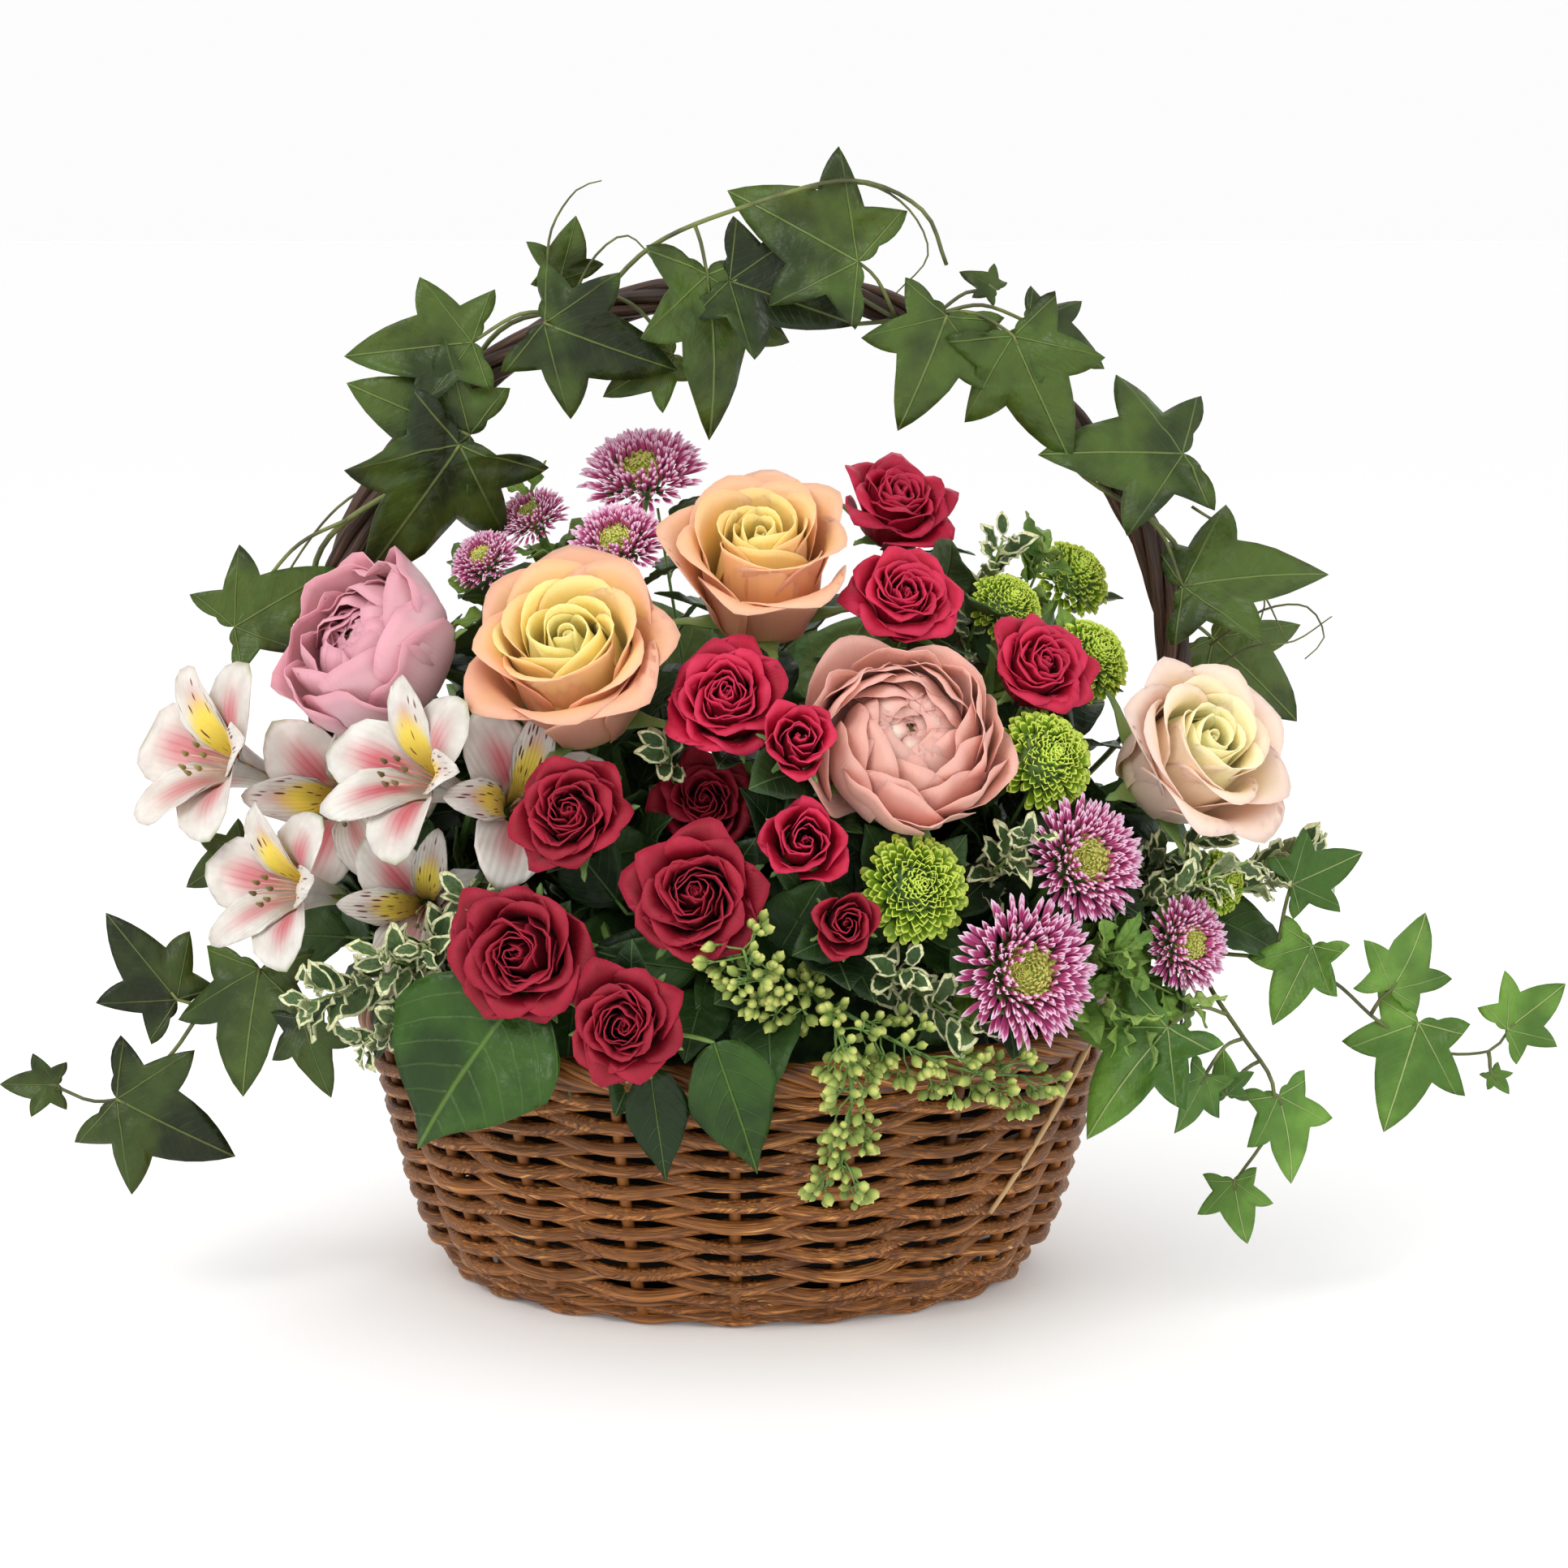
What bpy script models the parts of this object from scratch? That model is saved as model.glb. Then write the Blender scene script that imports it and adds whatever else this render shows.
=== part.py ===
"""A flower basket arrangement, in metres with +Z up and its front facing -Y.

An oval willow basket with an arched handle holds a liner and a block of floral foam. Roses,
ranunculus, spray roses, asters, button mums, alstroemeria and greenery stand in the foam, and
ivy climbs the handle and trails over both ends. The origin is the centre of the basket's underside.
"""

import math

import bmesh
import bpy
from mathutils import Vector

MM = 0.001
GAP = 0.3  # millimetres left between touching pieces

# Basket: half the outer width at each height, in millimetres. Half the depth is SQUEEZE less.
WALL_OUTSIDE = ((89, 0), (97, 9), (106, 28), (113, 52), (119, 80))
WALL_THICKNESS = 8
SQUEEZE = 22
BASE_THICKNESS = 5
RIM_HALF_WIDTH = 116.5  # to the middle of its band
RIM_WIDTH = 13
RIM_HEIGHT = 11
OVAL_SIDES = 36

# Handle: legs inside the wall, then half an ellipse above SHOULDER_HEIGHT.
HANDLE_RADIUS = 6.5
HANDLE_SIDES = 8
HANDLE_CENTRE_X = 4
HANDLE_HALF_SPAN = 138
SHOULDER_HEIGHT = 190
ARCH_RISE = 130
LEG_FOOT = (91.2, 30)
LEG_AT_RIM = (101, 84)

# Liner and foam, seated on the base.
LINER_THICKNESS = 1.5
LINER_OUTSIDE = ((76, 5.3), (82, 24), (91, 70))
FOAM_OUTSIDE = ((70, 7.1), (78, 24), (84, 66), (78, 96), (70, 108), (56, 116))

# A bloom faces outwards from here, and leans towards the viewer by FRONT_LEAN.
BLOOM_FOCUS = Vector((0, 10, 90))
FRONT_LEAN = Vector((0, -0.88, 0.15))
BLOOM_SIDES = 10
BLOOM_GAP = 0.8  # between a stem and its bloom
BLOOM_CENTRE = 0.6  # a bloom's named place is this share of its height above its stem

# Outline of each kind of bloom, stem to crown: (share of the radius, share of the height).
CUP = ((0, 0), (0.28, 0.04), (0.74, 0.3), (0.98, 0.62), (0.84, 0.9), (0.4, 0.99), (0, 1))
ROSETTE = ((0, 0), (0.2, 0.05), (0.55, 0.32), (0.96, 0.68), (0.9, 0.88), (0.45, 0.99), (0, 1))
DISC = ((0, 0), (0.3, 0.06), (0.5, 0.35), (0.96, 0.62), (0.94, 0.82), (0.45, 0.98), (0, 1))
DOME = ((0, 0), (0.34, 0.06), (0.85, 0.28), (0.97, 0.55), (0.8, 0.84), (0.4, 0.97), (0, 1))
FUNNEL = ((0, 0), (0.13, 0.03), (0.2, 0.3), (0.62, 0.7), (0.94, 0.93), (0.88, 1), (0.5, 0.86), (0, 0.7))

PEACH = (0.93, 0.62, 0.42)
BLUSH = (0.85, 0.47, 0.47)
CRIMSON = (0.62, 0.03, 0.12)
LAVENDER = (0.72, 0.3, 0.58)
LIME = (0.45, 0.6, 0.06)
WHITE = (0.85, 0.8, 0.76)
STEM_GREEN = (0.16, 0.27, 0.08)

# Each bloom: its kind's outline, radius, height, colour, and centre in millimetres.
BLOOMS = {
    "peach_rose_left": (CUP, 33, 44, PEACH, (-49, -66, 209)),
    "peach_rose_top": (CUP, 31, 43, PEACH, (8, -44, 237)),
    "peach_rose_right": (CUP, 30, 41, PEACH, (143, -44, 177)),
    "ranunculus_left": (CUP, 29, 38, BLUSH, (-112, -38, 209)),
    "ranunculus_centre": (CUP, 29, 36, BLUSH, (53, -77, 185)),
    "spray_rose_upper_left": (ROSETTE, 18.5, 22, CRIMSON, (-48, -91, 166)),
    "spray_rose_front": (ROSETTE, 21, 25, CRIMSON, (-11, -103, 144)),
    "spray_rose_lower_left": (ROSETTE, 21, 24, CRIMSON, (-63, -99, 125)),
    "spray_rose_rim": (ROSETTE, 17.5, 21, CRIMSON, (-32, -111, 107)),
    "spray_rose_middle": (ROSETTE, 18, 22, CRIMSON, (-2, -79, 199)),
    "spray_rose_small": (ROSETTE, 12, 17, CRIMSON, (19, -96, 189)),
    "spray_rose_right_of_middle": (ROSETTE, 13, 18, CRIMSON, (21, -98, 159)),
    "spray_rose_bud": (ROSETTE, 10.5, 16, CRIMSON, (33, -106, 136)),
    "spray_rose_inner": (ROSETTE, 15.5, 20, CRIMSON, (-9, -60, 164)),
    "spray_rose_top": (ROSETTE, 20, 23, CRIMSON, (52, 16, 249)),
    "spray_rose_upper_right": (ROSETTE, 17.5, 21, CRIMSON, (52, -51, 226)),
    "spray_rose_right": (ROSETTE, 16.5, 21, CRIMSON, (94, -47, 204)),
    "aster_top": (DISC, 19.5, 15, LAVENDER, (-31, 16, 259)),
    "aster_upper": (DISC, 15, 13, LAVENDER, (-37, -31, 241)),
    "aster_back_left": (DISC, 11.5, 14, LAVENDER, (-66, 5, 246)),
    "aster_left": (DISC, 11, 13, LAVENDER, (-80, -13, 234)),
    "aster_right": (DISC, 19, 15, LAVENDER, (106, -75, 149)),
    "aster_front": (DISC, 22, 17, LAVENDER, (87, -94, 119)),
    "aster_far_right": (DISC, 15, 14, LAVENDER, (139, -61, 120)),
    "mum_upper": (DOME, 12, 14, LIME, (86, -29, 223)),
    "mum_back": (DOME, 14, 15, LIME, (110, 13, 228)),
    "mum_upper_right": (DOME, 14, 15, LIME, (113, -25, 206)),
    "mum_middle": (DOME, 16, 17, LIME, (96, -67, 180)),
    "mum_front": (DOME, 16.5, 17, LIME, (55, -95, 145)),
    "mum_right": (DOME, 10.5, 13, LIME, (153, -42, 136)),
    "alstroemeria_upper": (FUNNEL, 30, 40, WHITE, (-159, -31, 172)),
    "alstroemeria_middle": (FUNNEL, 27, 38, WHITE, (-90, -73, 174)),
    "alstroemeria_lower": (FUNNEL, 25, 36, WHITE, (-135, -59, 137)),
}

# Each stem: its radius, where it enters the foam (x, y), where it forks, and its blooms.
STEMS = {
    "peach_rose_left_stem": (2.4, (-24, -24), None, ("peach_rose_left",)),
    "peach_rose_top_stem": (2.4, (4, -6), None, ("peach_rose_top",)),
    "peach_rose_right_stem": (2.4, (58, 2), None, ("peach_rose_right",)),
    "ranunculus_left_stem": (2.0, (-50, 6), None, ("ranunculus_left",)),
    "ranunculus_centre_stem": (2.0, (24, -26), None, ("ranunculus_centre",)),
    "spray_rose_left_stem": (
        1.8,
        (-40, -34),
        (-44, -54, 132),
        ("spray_rose_upper_left", "spray_rose_front", "spray_rose_lower_left", "spray_rose_rim"),
    ),
    "spray_rose_middle_stem": (
        1.8,
        (4, -36),
        (14, -46, 140),
        (
            "spray_rose_middle",
            "spray_rose_small",
            "spray_rose_right_of_middle",
            "spray_rose_bud",
            "spray_rose_inner",
        ),
    ),
    "spray_rose_right_stem": (
        1.8,
        (34, 4),
        (52, -8, 178),
        ("spray_rose_top", "spray_rose_upper_right", "spray_rose_right"),
    ),
    "aster_left_stem": (
        1.6,
        (-28, 12),
        (-50, 8, 200),
        ("aster_top", "aster_upper", "aster_back_left", "aster_left"),
    ),
    "aster_right_stem": (
        1.6,
        (66, -20),
        (86, -44, 120),
        ("aster_right", "aster_front", "aster_far_right"),
    ),
    "mum_stem": (
        1.6,
        (46, -22),
        (74, -14, 150),
        ("mum_upper", "mum_back", "mum_upper_right", "mum_middle", "mum_front", "mum_right"),
    ),
    "alstroemeria_stem": (
        1.9,
        (-62, -8),
        (-90, -22, 130),
        ("alstroemeria_upper", "alstroemeria_middle", "alstroemeria_lower"),
    ),
}
STEM_SIDES = 5
STEM_POINTS = 6
STEM_DEPTH = 16  # how far a stem runs into the foam
STEM_RISE = 6  # how far it stays straight above the foam
HOLE_CLEARANCE = 0.6

# Ivy: its vines twine round the handle or trail over the ends of the basket.
VINE_RADIUS = 1.4
VINE_SIDES = 5
PETIOLE_RADIUS = 0.8
PETIOLE_SIDES = 4
TWINE_RADIUS = 8.5  # from the handle's middle to the vine's middle
TWINE_PITCH = 95

# Half the outline of a leaf, base to tip: (along the leaf, across it), as shares of its length.
IVY_OUTLINE = ((0, 0), (-0.14, 0.14), (-0.12, 0.5), (0.12, 0.4), (0.42, 0.66), (0.48, 0.28), (1, 0))
OVAL_OUTLINE = ((0, 0), (0.18, 0.26), (0.42, 0.38), (0.7, 0.3), (1, 0))
LEAF_THICKNESS = 0.8
LEAF_DROOP = 0.08  # how far a leaf's edge curls back, as a share of its length
IVY_FACE = Vector((0, -1, 0.15))

# Where each vine enters the foam, its course, and its leaves: (base, tip) and sometimes a facing.
LEFT_IVY_ENTRY = (-44, 26)
RIGHT_IVY_ENTRY = (48, 26)
TRAIL_LEFT_ENTRY = (-70, 6)
TRAIL_RIGHT_ENTRY = (66, 16)
HANDLE_IVY_LEFT = (
    ((-84, -15, 274), (-122, -20, 290)),
    ((-86, -12, 270), (-112, -5, 239), (0.5, -1, -0.2)),
    ((-83, -13, 303), (-123, -17, 299)),
    ((-60, -16, 309), (-20, -22, 294)),
    ((-56, -4, 322), (-50, -4, 342)),
    ((-20, -9, 299), (-43, -8, 286)),
    ((-9, -16, 324), (-3, -25, 275)),
    ((-166, -13, 216), (-138, -12, 231)),
)
HANDLE_IVY_RIGHT = (
    ((38, -18, 328), (-3, -14, 351), (0, -1, 0.45)),
    ((-2, -14, 322), (38, -16, 309)),
    ((66, -14, 311), (52, -22, 276)),
    ((87, -15, 305), (104, -22, 266)),
    ((92, -8, 309), (117, -10, 296)),
    ((141, -13, 268), (96, -20, 270)),
    ((142, -12, 226), (188, -14, 233)),
    ((155, 13, 206), (184, 9, 180)),
    ((82, -3, 319), (72, -5, 326)),
)
TRAIL_LEFT_VINE = ((-110, -20, 116), (-148, -40, 105), (-166, -45, 97), (-177, -49, 83),
                   (-190, -50, 70), (-203, -46, 66), (-214, -45, 70))
TRAIL_LEFT_LEAVES = (
    ((-176, -46, 99), (-197, -48, 127)),
    ((-195, -51, 68), (-159, -57, 51)),
    ((-215, -45, 71), (-233, -47, 72)),
    ((-149, -51, 110), (-155, -62, 72)),
    ((-134, -64, 97), (-126, -72, 74)),
    ((-158, -20, 142), (-177, -22, 130)),
)
TRAIL_RIGHT_VINE = ((110, -8, 114), (145, -33, 112), (170, -42, 111), (188, -41, 104),
                    (204, -40, 90), (222, -37, 80), (240, -33, 79), (246, -32, 85))
TRAIL_RIGHT_LOWER_VINE = ((145, -33, 112), (149, -52, 103), (158, -60, 90), (167, -62, 76),
                          (166, -61, 60), (157, -60, 45))
TRAIL_RIGHT_LEAVES = (
    ((174, -46, 136), (196, -47, 146)),
    ((181, -45, 116), (168, -51, 92)),
    ((207, -41, 101), (219, -43, 124)),
    ((216, -40, 90), (205, -47, 56)),
    ((246, -32, 86), (264, -33, 101)),
    ((241, -33, 72), (247, -34, 65)),
    ((132, -80, 98), (105, -92, 70)),
    ((144, -76, 82), (135, -84, 66)),
    ((152, -68, 74), (150, -71, 89)),
    ((169, -62, 72), (176, -67, 45)),
    ((156, -60, 44), (159, -64, 24)),
)

# Leafy branches: where each enters the foam, its shoots' points, and its leaves' (base, tip) pairs.
SALAL_FRONT = (
    (-20, -44),
    (((-24, -72, 104), (-31, -90, 96), (-33, -98, 95)),),
    (((-56, -97, 100), (-98, -100, 72)), ((-25, -106, 88), (-20, -111, 60)),
     ((-6, -106, 98), (8, -110, 62))),
)
SALAL_BACK = (
    (0, 34),
    (((0, 48, 124), (3, 57, 150), (5, 61, 178)),
     ((0, 48, 124), (-34, 57, 132), (-64, 60, 150)),
     ((1, 50, 126), (33, 57, 133), (64, 60, 151))),
    (((6, 63, 180), (12, 70, 232)), ((-8, 61, 162), (-36, 67, 214)), ((14, 61, 158), (44, 68, 208)),
     ((-64, 61, 152), (-100, 67, 184)), ((-40, 61, 141), (-62, 72, 188)), ((-30, 64, 127), (-64, 94, 130)),
     ((64, 61, 152), (101, 66, 181)), ((40, 61, 141), (68, 72, 190)), ((30, 64, 127), (66, 94, 128)),
     ((-3, 66, 122), (-10, 106, 119))),
)
PITTOSPORUM_LEFT = (
    (-56, -26),
    (((-84, -52, 112), (-106, -74, 110), (-128, -86, 104)),),
    tuple(((-92 - 7 * step, -61 - 5 * step, 112 - step), (-96 - 8 * step, -68 - 5 * step, 125 - 3 * step))
          for step in range(6)),
)
PITTOSPORUM_RIGHT = (
    (68, -2),
    (((110, -16, 124), (150, -24, 133), (182, -30, 142)),),
    tuple(((140 + 8 * step, -22 - 1.5 * step, 131 + 2 * step), (150 + 9 * step, -34 - step, 138 + 3 * step))
          for step in range(5)),
)
FULL_WIDTH = 1.0
NARROW_WIDTH = 0.75

# Eucalyptus: three shoots from one fork, each strung with berries.
EUCALYPTUS_ENTRY = (20, -44)
EUCALYPTUS_FORK = (24, -86, 110)
EUCALYPTUS_SHOOTS = (
    ((14, -100, 115), (6, -110, 121), (3, -114, 130)),
    ((31, -106, 104), (35, -113, 86), (31, -114, 60)),
    ((48, -100, 99), (68, -98, 90), (88, -90, 86)),
)
BERRY_RADIUS = 3.2
BERRY_SPACING = 9
BERRY_SIDES = 5


def clear_scene():
    for item in list(bpy.data.objects):
        bpy.data.objects.remove(item, do_unlink=True)


def finish_material(name, colour, roughness=0.6):
    """A Principled material of one colour."""
    material = bpy.data.materials.new(name)
    material.use_nodes = True
    shader = material.node_tree.nodes["Principled BSDF"]
    shader.inputs["Base Color"].default_value = (*colour, 1)
    shader.inputs["Roughness"].default_value = roughness
    shader.inputs["Metallic"].default_value = 0
    return material


def make_mesh(points, faces):
    """A mesh in metres from points in millimetres, with its faces turned outwards."""
    mesh = bpy.data.meshes.new("mesh")
    mesh.from_pydata([Vector(point) * MM for point in points], [], faces)
    shape = bmesh.new()
    shape.from_mesh(mesh)
    bmesh.ops.recalc_face_normals(shape, faces=shape.faces)
    shape.to_mesh(mesh)
    shape.free()
    return mesh


def add_part(name, mesh, colour, roughness=0.6, sharp_angle=40):
    """A named object for one sub-part, smoothly shaded."""
    mesh.name = name
    mesh.materials.clear()
    mesh.materials.append(finish_material(name, colour, roughness))
    mesh.shade_smooth()
    mesh.set_sharp_from_angle(angle=math.radians(sharp_angle))
    part = bpy.data.objects.new(name, mesh)
    bpy.context.scene.collection.objects.link(part)
    return part


def loft(rings, closed=False):
    """Points and faces of a skin through equal rings, capped at both ends unless it closes."""
    sides = len(rings[0])
    points = [point for ring in rings for point in ring]
    spans = len(rings) if closed else len(rings) - 1
    faces = []
    for row in range(spans):
        low, high = row * sides, (row + 1) % len(rings) * sides
        for side in range(sides):
            after = (side + 1) % sides
            faces.append((low + side, low + after, high + after, high + side))
    if not closed:
        faces.append(tuple(range(sides)))
        faces.append(tuple(range((len(rings) - 1) * sides, len(rings) * sides)))
    return points, faces


def oval(half_width, height, squeeze=SQUEEZE):
    """One level oval ring, longer along X."""
    turn = math.tau / OVAL_SIDES
    return [
        Vector((half_width * math.cos(turn * step), (half_width - squeeze) * math.sin(turn * step), height))
        for step in range(OVAL_SIDES)
    ]


def frames_along(path):
    """For each point of a path, two directions across it that turn as little as they can."""
    last = len(path) - 1
    across = None
    frames = []
    for step in range(len(path)):
        ahead = (path[min(step + 1, last)] - path[max(step - 1, 0)]).normalized()
        if across is None:
            across = ahead.orthogonal().normalized()
        across = (across - ahead * across.dot(ahead)).normalized()
        frames.append((across, ahead.cross(across)))
    return frames


def tube(path, radius, sides, tip_scale=1.0):
    """A closed tube along a path, narrowing evenly to tip_scale of its radius."""
    rings = []
    for step, (across, up) in enumerate(frames_along(path)):
        here = radius * (1 + (tip_scale - 1) * step / (len(path) - 1))
        rings.append([
            path[step] + across * here * math.cos(math.tau * side / sides)
            + up * here * math.sin(math.tau * side / sides)
            for side in range(sides)
        ])
    return make_mesh(*loft(rings))


def smooth_path(points, spacing):
    """Evenly spaced points on a Catmull-Rom curve through the given ones."""
    points = [Vector(point) for point in points]
    ends = [points[0] * 2 - points[1], *points, points[-1] * 2 - points[-2]]
    path = [points[0]]
    for before, start, end, after in zip(ends, ends[1:], ends[2:], ends[3:]):
        steps = max(1, round((end - start).length / spacing))
        for step in range(1, steps + 1):
            t = step / steps
            path.append(0.5 * (2 * start + (end - before) * t
                               + (2 * before - 5 * start + 4 * end - after) * t ** 2
                               + (3 * start - before - 3 * end + after) * t ** 3))
    return path


def bezier(start, start_pull, end_pull, end, count):
    """Points of a cubic curve that leaves along start_pull and arrives along end_pull."""
    path = []
    for step in range(count):
        t = step / (count - 1)
        path.append(start * (1 - t) ** 3 + (start + start_pull) * 3 * t * (1 - t) ** 2
                    + (end - end_pull) * 3 * t ** 2 * (1 - t) + end * t ** 3)
    return path


def unite(meshes):
    """One closed mesh from closed meshes that pass through each other."""
    scene = bpy.context.scene.collection
    body, *others = [bpy.data.objects.new("piece", mesh) for mesh in meshes]
    group = bpy.data.collections.new("pieces")
    scene.objects.link(body)
    scene.children.link(group)
    for piece in others:
        group.objects.link(piece)
    join = body.modifiers.new("join", "BOOLEAN")
    join.operation = "UNION"
    join.solver = "EXACT"
    join.operand_type = "COLLECTION"
    join.collection = group
    return apply_and_discard(body, others, group)


def cut(mesh, cutters):
    """The mesh with every cutter taken away from it."""
    scene = bpy.context.scene.collection
    body = bpy.data.objects.new("piece", mesh)
    scene.objects.link(body)
    group = bpy.data.collections.new("cutters")
    scene.children.link(group)
    tools = [bpy.data.objects.new("cutter", cutter) for cutter in cutters]
    for tool in tools:
        group.objects.link(tool)
    bore = body.modifiers.new("bore", "BOOLEAN")
    bore.operation = "DIFFERENCE"
    bore.solver = "EXACT"
    bore.operand_type = "COLLECTION"
    bore.collection = group
    return apply_and_discard(body, tools, group)


def apply_and_discard(body, others, group):
    """The modified mesh of body, after which it and its helpers are removed."""
    depsgraph = bpy.context.evaluated_depsgraph_get()
    mesh = bpy.data.meshes.new_from_object(body.evaluated_get(depsgraph), depsgraph=depsgraph)
    for item in (body, *others):
        bpy.data.objects.remove(item, do_unlink=True)
    bpy.data.collections.remove(group)
    return mesh


def build_basket():
    wicker = (0.3, 0.15, 0.06)
    inside = [(half - WALL_THICKNESS, height) for half, height in WALL_OUTSIDE]
    wall = [oval(*pair) for pair in (*WALL_OUTSIDE, *reversed(inside))]
    add_part("basket_wall", make_mesh(*loft(wall, closed=True)), wicker, 0.7)

    floor_half = inside[0][0] - 2 * GAP
    base = [oval(floor_half, 0), oval(floor_half, BASE_THICKNESS)]
    add_part("basket_base", make_mesh(*loft(base)), wicker, 0.75)

    rim_foot = WALL_OUTSIDE[-1][1] + GAP
    half, middle = RIM_WIDTH / 2, rim_foot + RIM_HEIGHT / 2
    corner = 3
    section = ((-half, 0), (-half + corner, -1), (half - corner, -1), (half, 0),
               (half - corner, 1), (-half + corner, 1))
    rim = [oval(RIM_HALF_WIDTH + out, middle + side * RIM_HEIGHT / 2) for out, side in section]
    add_part("basket_rim", make_mesh(*loft(rim, closed=True)), wicker, 0.7)


def handle_point(angle):
    """The middle of the handle on its arch; angle 0 is the right shoulder and pi the left."""
    return Vector((HANDLE_CENTRE_X + HANDLE_HALF_SPAN * math.cos(angle), 0,
                   SHOULDER_HEIGHT + ARCH_RISE * math.sin(angle)))


def handle_leg(side):
    """The middle of one leg, foot to shoulder; side is 1 on the right and -1 on the left."""
    shoulder = HANDLE_CENTRE_X + side * HANDLE_HALF_SPAN
    rise = SHOULDER_HEIGHT - LEG_AT_RIM[1]
    straight = [Vector((side * across, 0, height)) for across, height in (LEG_FOOT, LEG_AT_RIM)]
    lean = (straight[1] - straight[0]).normalized()
    bow = bezier(straight[1], lean * rise * 0.35, Vector((0, 0, rise * 0.4)),
                 Vector((shoulder, 0, SHOULDER_HEIGHT)), 8)
    return [straight[0], *bow]


def build_handle():
    arch = [handle_point(math.pi * step / 26) for step in range(1, 26)]
    path = [*handle_leg(1), *arch, *reversed(handle_leg(-1))]
    add_part("basket_handle", tube(path, HANDLE_RADIUS, HANDLE_SIDES), (0.14, 0.08, 0.04), 0.65)


def build_liner():
    inside = [(half - LINER_THICKNESS, height) for half, height in LINER_OUTSIDE]
    inside[0] = (inside[0][0], LINER_OUTSIDE[0][1] + LINER_THICKNESS)
    rings = [oval(*pair) for pair in (*LINER_OUTSIDE, *reversed(inside))]
    add_part("liner", make_mesh(*loft(rings)), (0.03, 0.05, 0.03), 0.4)


def foam_height(x, y):
    """Height of the foam's top surface above a point."""
    for half_width, height in reversed(FOAM_OUTSIDE):
        if (x / half_width) ** 2 + (y / (half_width - SQUEEZE)) ** 2 > 1:
            outer_half, outer_height = half_width, height
            continue
        if height == FOAM_OUTSIDE[-1][1]:
            return height
        for share in range(21):
            part = share / 20
            half = outer_half + (half_width - outer_half) * part
            if (x / half) ** 2 + (y / (half - SQUEEZE)) ** 2 <= 1:
                return outer_height + (height - outer_height) * part
    raise ValueError("no foam below this point")


def stem_root(entry):
    """A stem's foot in the foam, and where it stops being straight above it."""
    x, y = entry
    surface = Vector((x, y, foam_height(x, y)))
    direction = (surface - Vector((0.5 * x, 0.5 * y, 70))).normalized()
    return surface - direction * STEM_DEPTH, surface + direction * STEM_RISE


def build_foam(roots):
    """The foam block, with a hole for each stem: roots are (entry, radius) pairs."""
    cutters = []
    for entry, radius in roots:
        foot, top = stem_root(entry)
        along = (top - foot).normalized()
        cutters.append(tube([foot - along * HOLE_CLEARANCE, top + along * 6],
                            radius + HOLE_CLEARANCE, STEM_SIDES))
    block = make_mesh(*loft([oval(*pair) for pair in FOAM_OUTSIDE]))
    add_part("floral_foam", cut(block, cutters), (0.07, 0.16, 0.06), 0.9)


def bloom_facing(centre):
    outwards = (Vector(centre) - BLOOM_FOCUS).normalized()
    return (outwards + FRONT_LEAN).normalized()


def bloom_base(name):
    _, _, height, _, centre = BLOOMS[name]
    return Vector(centre) - bloom_facing(centre) * height * BLOOM_CENTRE


def build_bloom(name):
    """One bloom as the turned solid that its petals fill."""
    outline, radius, height, colour, centre = BLOOMS[name]
    facing = bloom_facing(centre)
    across = Vector((0, 0, 1)).cross(facing).normalized()
    up = facing.cross(across)
    base = bloom_base(name)
    turn = math.tau / BLOOM_SIDES
    points = []
    for reach, rise in outline[1:-1]:
        for side in range(BLOOM_SIDES):
            spoke = across * math.cos(turn * side) + up * math.sin(turn * side)
            points.append(base + facing * height * rise + spoke * radius * reach)
    rings = [points[first:first + BLOOM_SIDES] for first in range(0, len(points), BLOOM_SIDES)]
    points, faces = loft(rings)
    del faces[-2:]
    crown = len(rings) * BLOOM_SIDES - BLOOM_SIDES
    points += [base, base + facing * height * outline[-1][1]]
    for side in range(BLOOM_SIDES):
        after = (side + 1) % BLOOM_SIDES
        faces.append((side, after, len(points) - 2))
        faces.append((crown + side, crown + after, len(points) - 1))
    add_part(name, make_mesh(points, faces), colour, 0.55)


def build_stem(name):
    """A stem from the foam to its bloom, or to a fork and on to each of its blooms."""
    radius, entry, fork, blooms = STEMS[name]
    foot, top = stem_root(entry)
    rise = (top - foot).normalized()
    pieces = []
    if fork:
        fork = Vector(fork)
        pull = (fork - top).length * 0.35
        lean = (fork - top).normalized()
        trunk = bezier(top, rise * pull, (rise + lean).normalized() * pull, fork, STEM_POINTS)
        pieces.append(tube([foot, *trunk], radius, STEM_SIDES))
        start, rise = trunk[-2] + (trunk[-1] - trunk[-2]) * 0.6, (trunk[-1] - trunk[-2]).normalized()
    for bloom in blooms:
        facing = bloom_facing(BLOOMS[bloom][4])
        end = bloom_base(bloom) - facing * BLOOM_GAP
        if not fork:
            reach = (end - top).length
            path = bezier(top, rise * reach * 0.35, facing * reach * 0.3, end, STEM_POINTS)
            pieces.append(tube([foot, *path], radius, STEM_SIDES))
            continue
        reach = (end - start).length
        path = bezier(start, rise * reach * 0.2, facing * min(7, reach * 0.35), end, STEM_POINTS)
        pieces.append(tube(path, radius * 0.8, STEM_SIDES))
    mesh = unite(pieces) if fork else pieces[0]
    add_part(name, mesh, STEM_GREEN, 0.6)


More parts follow.
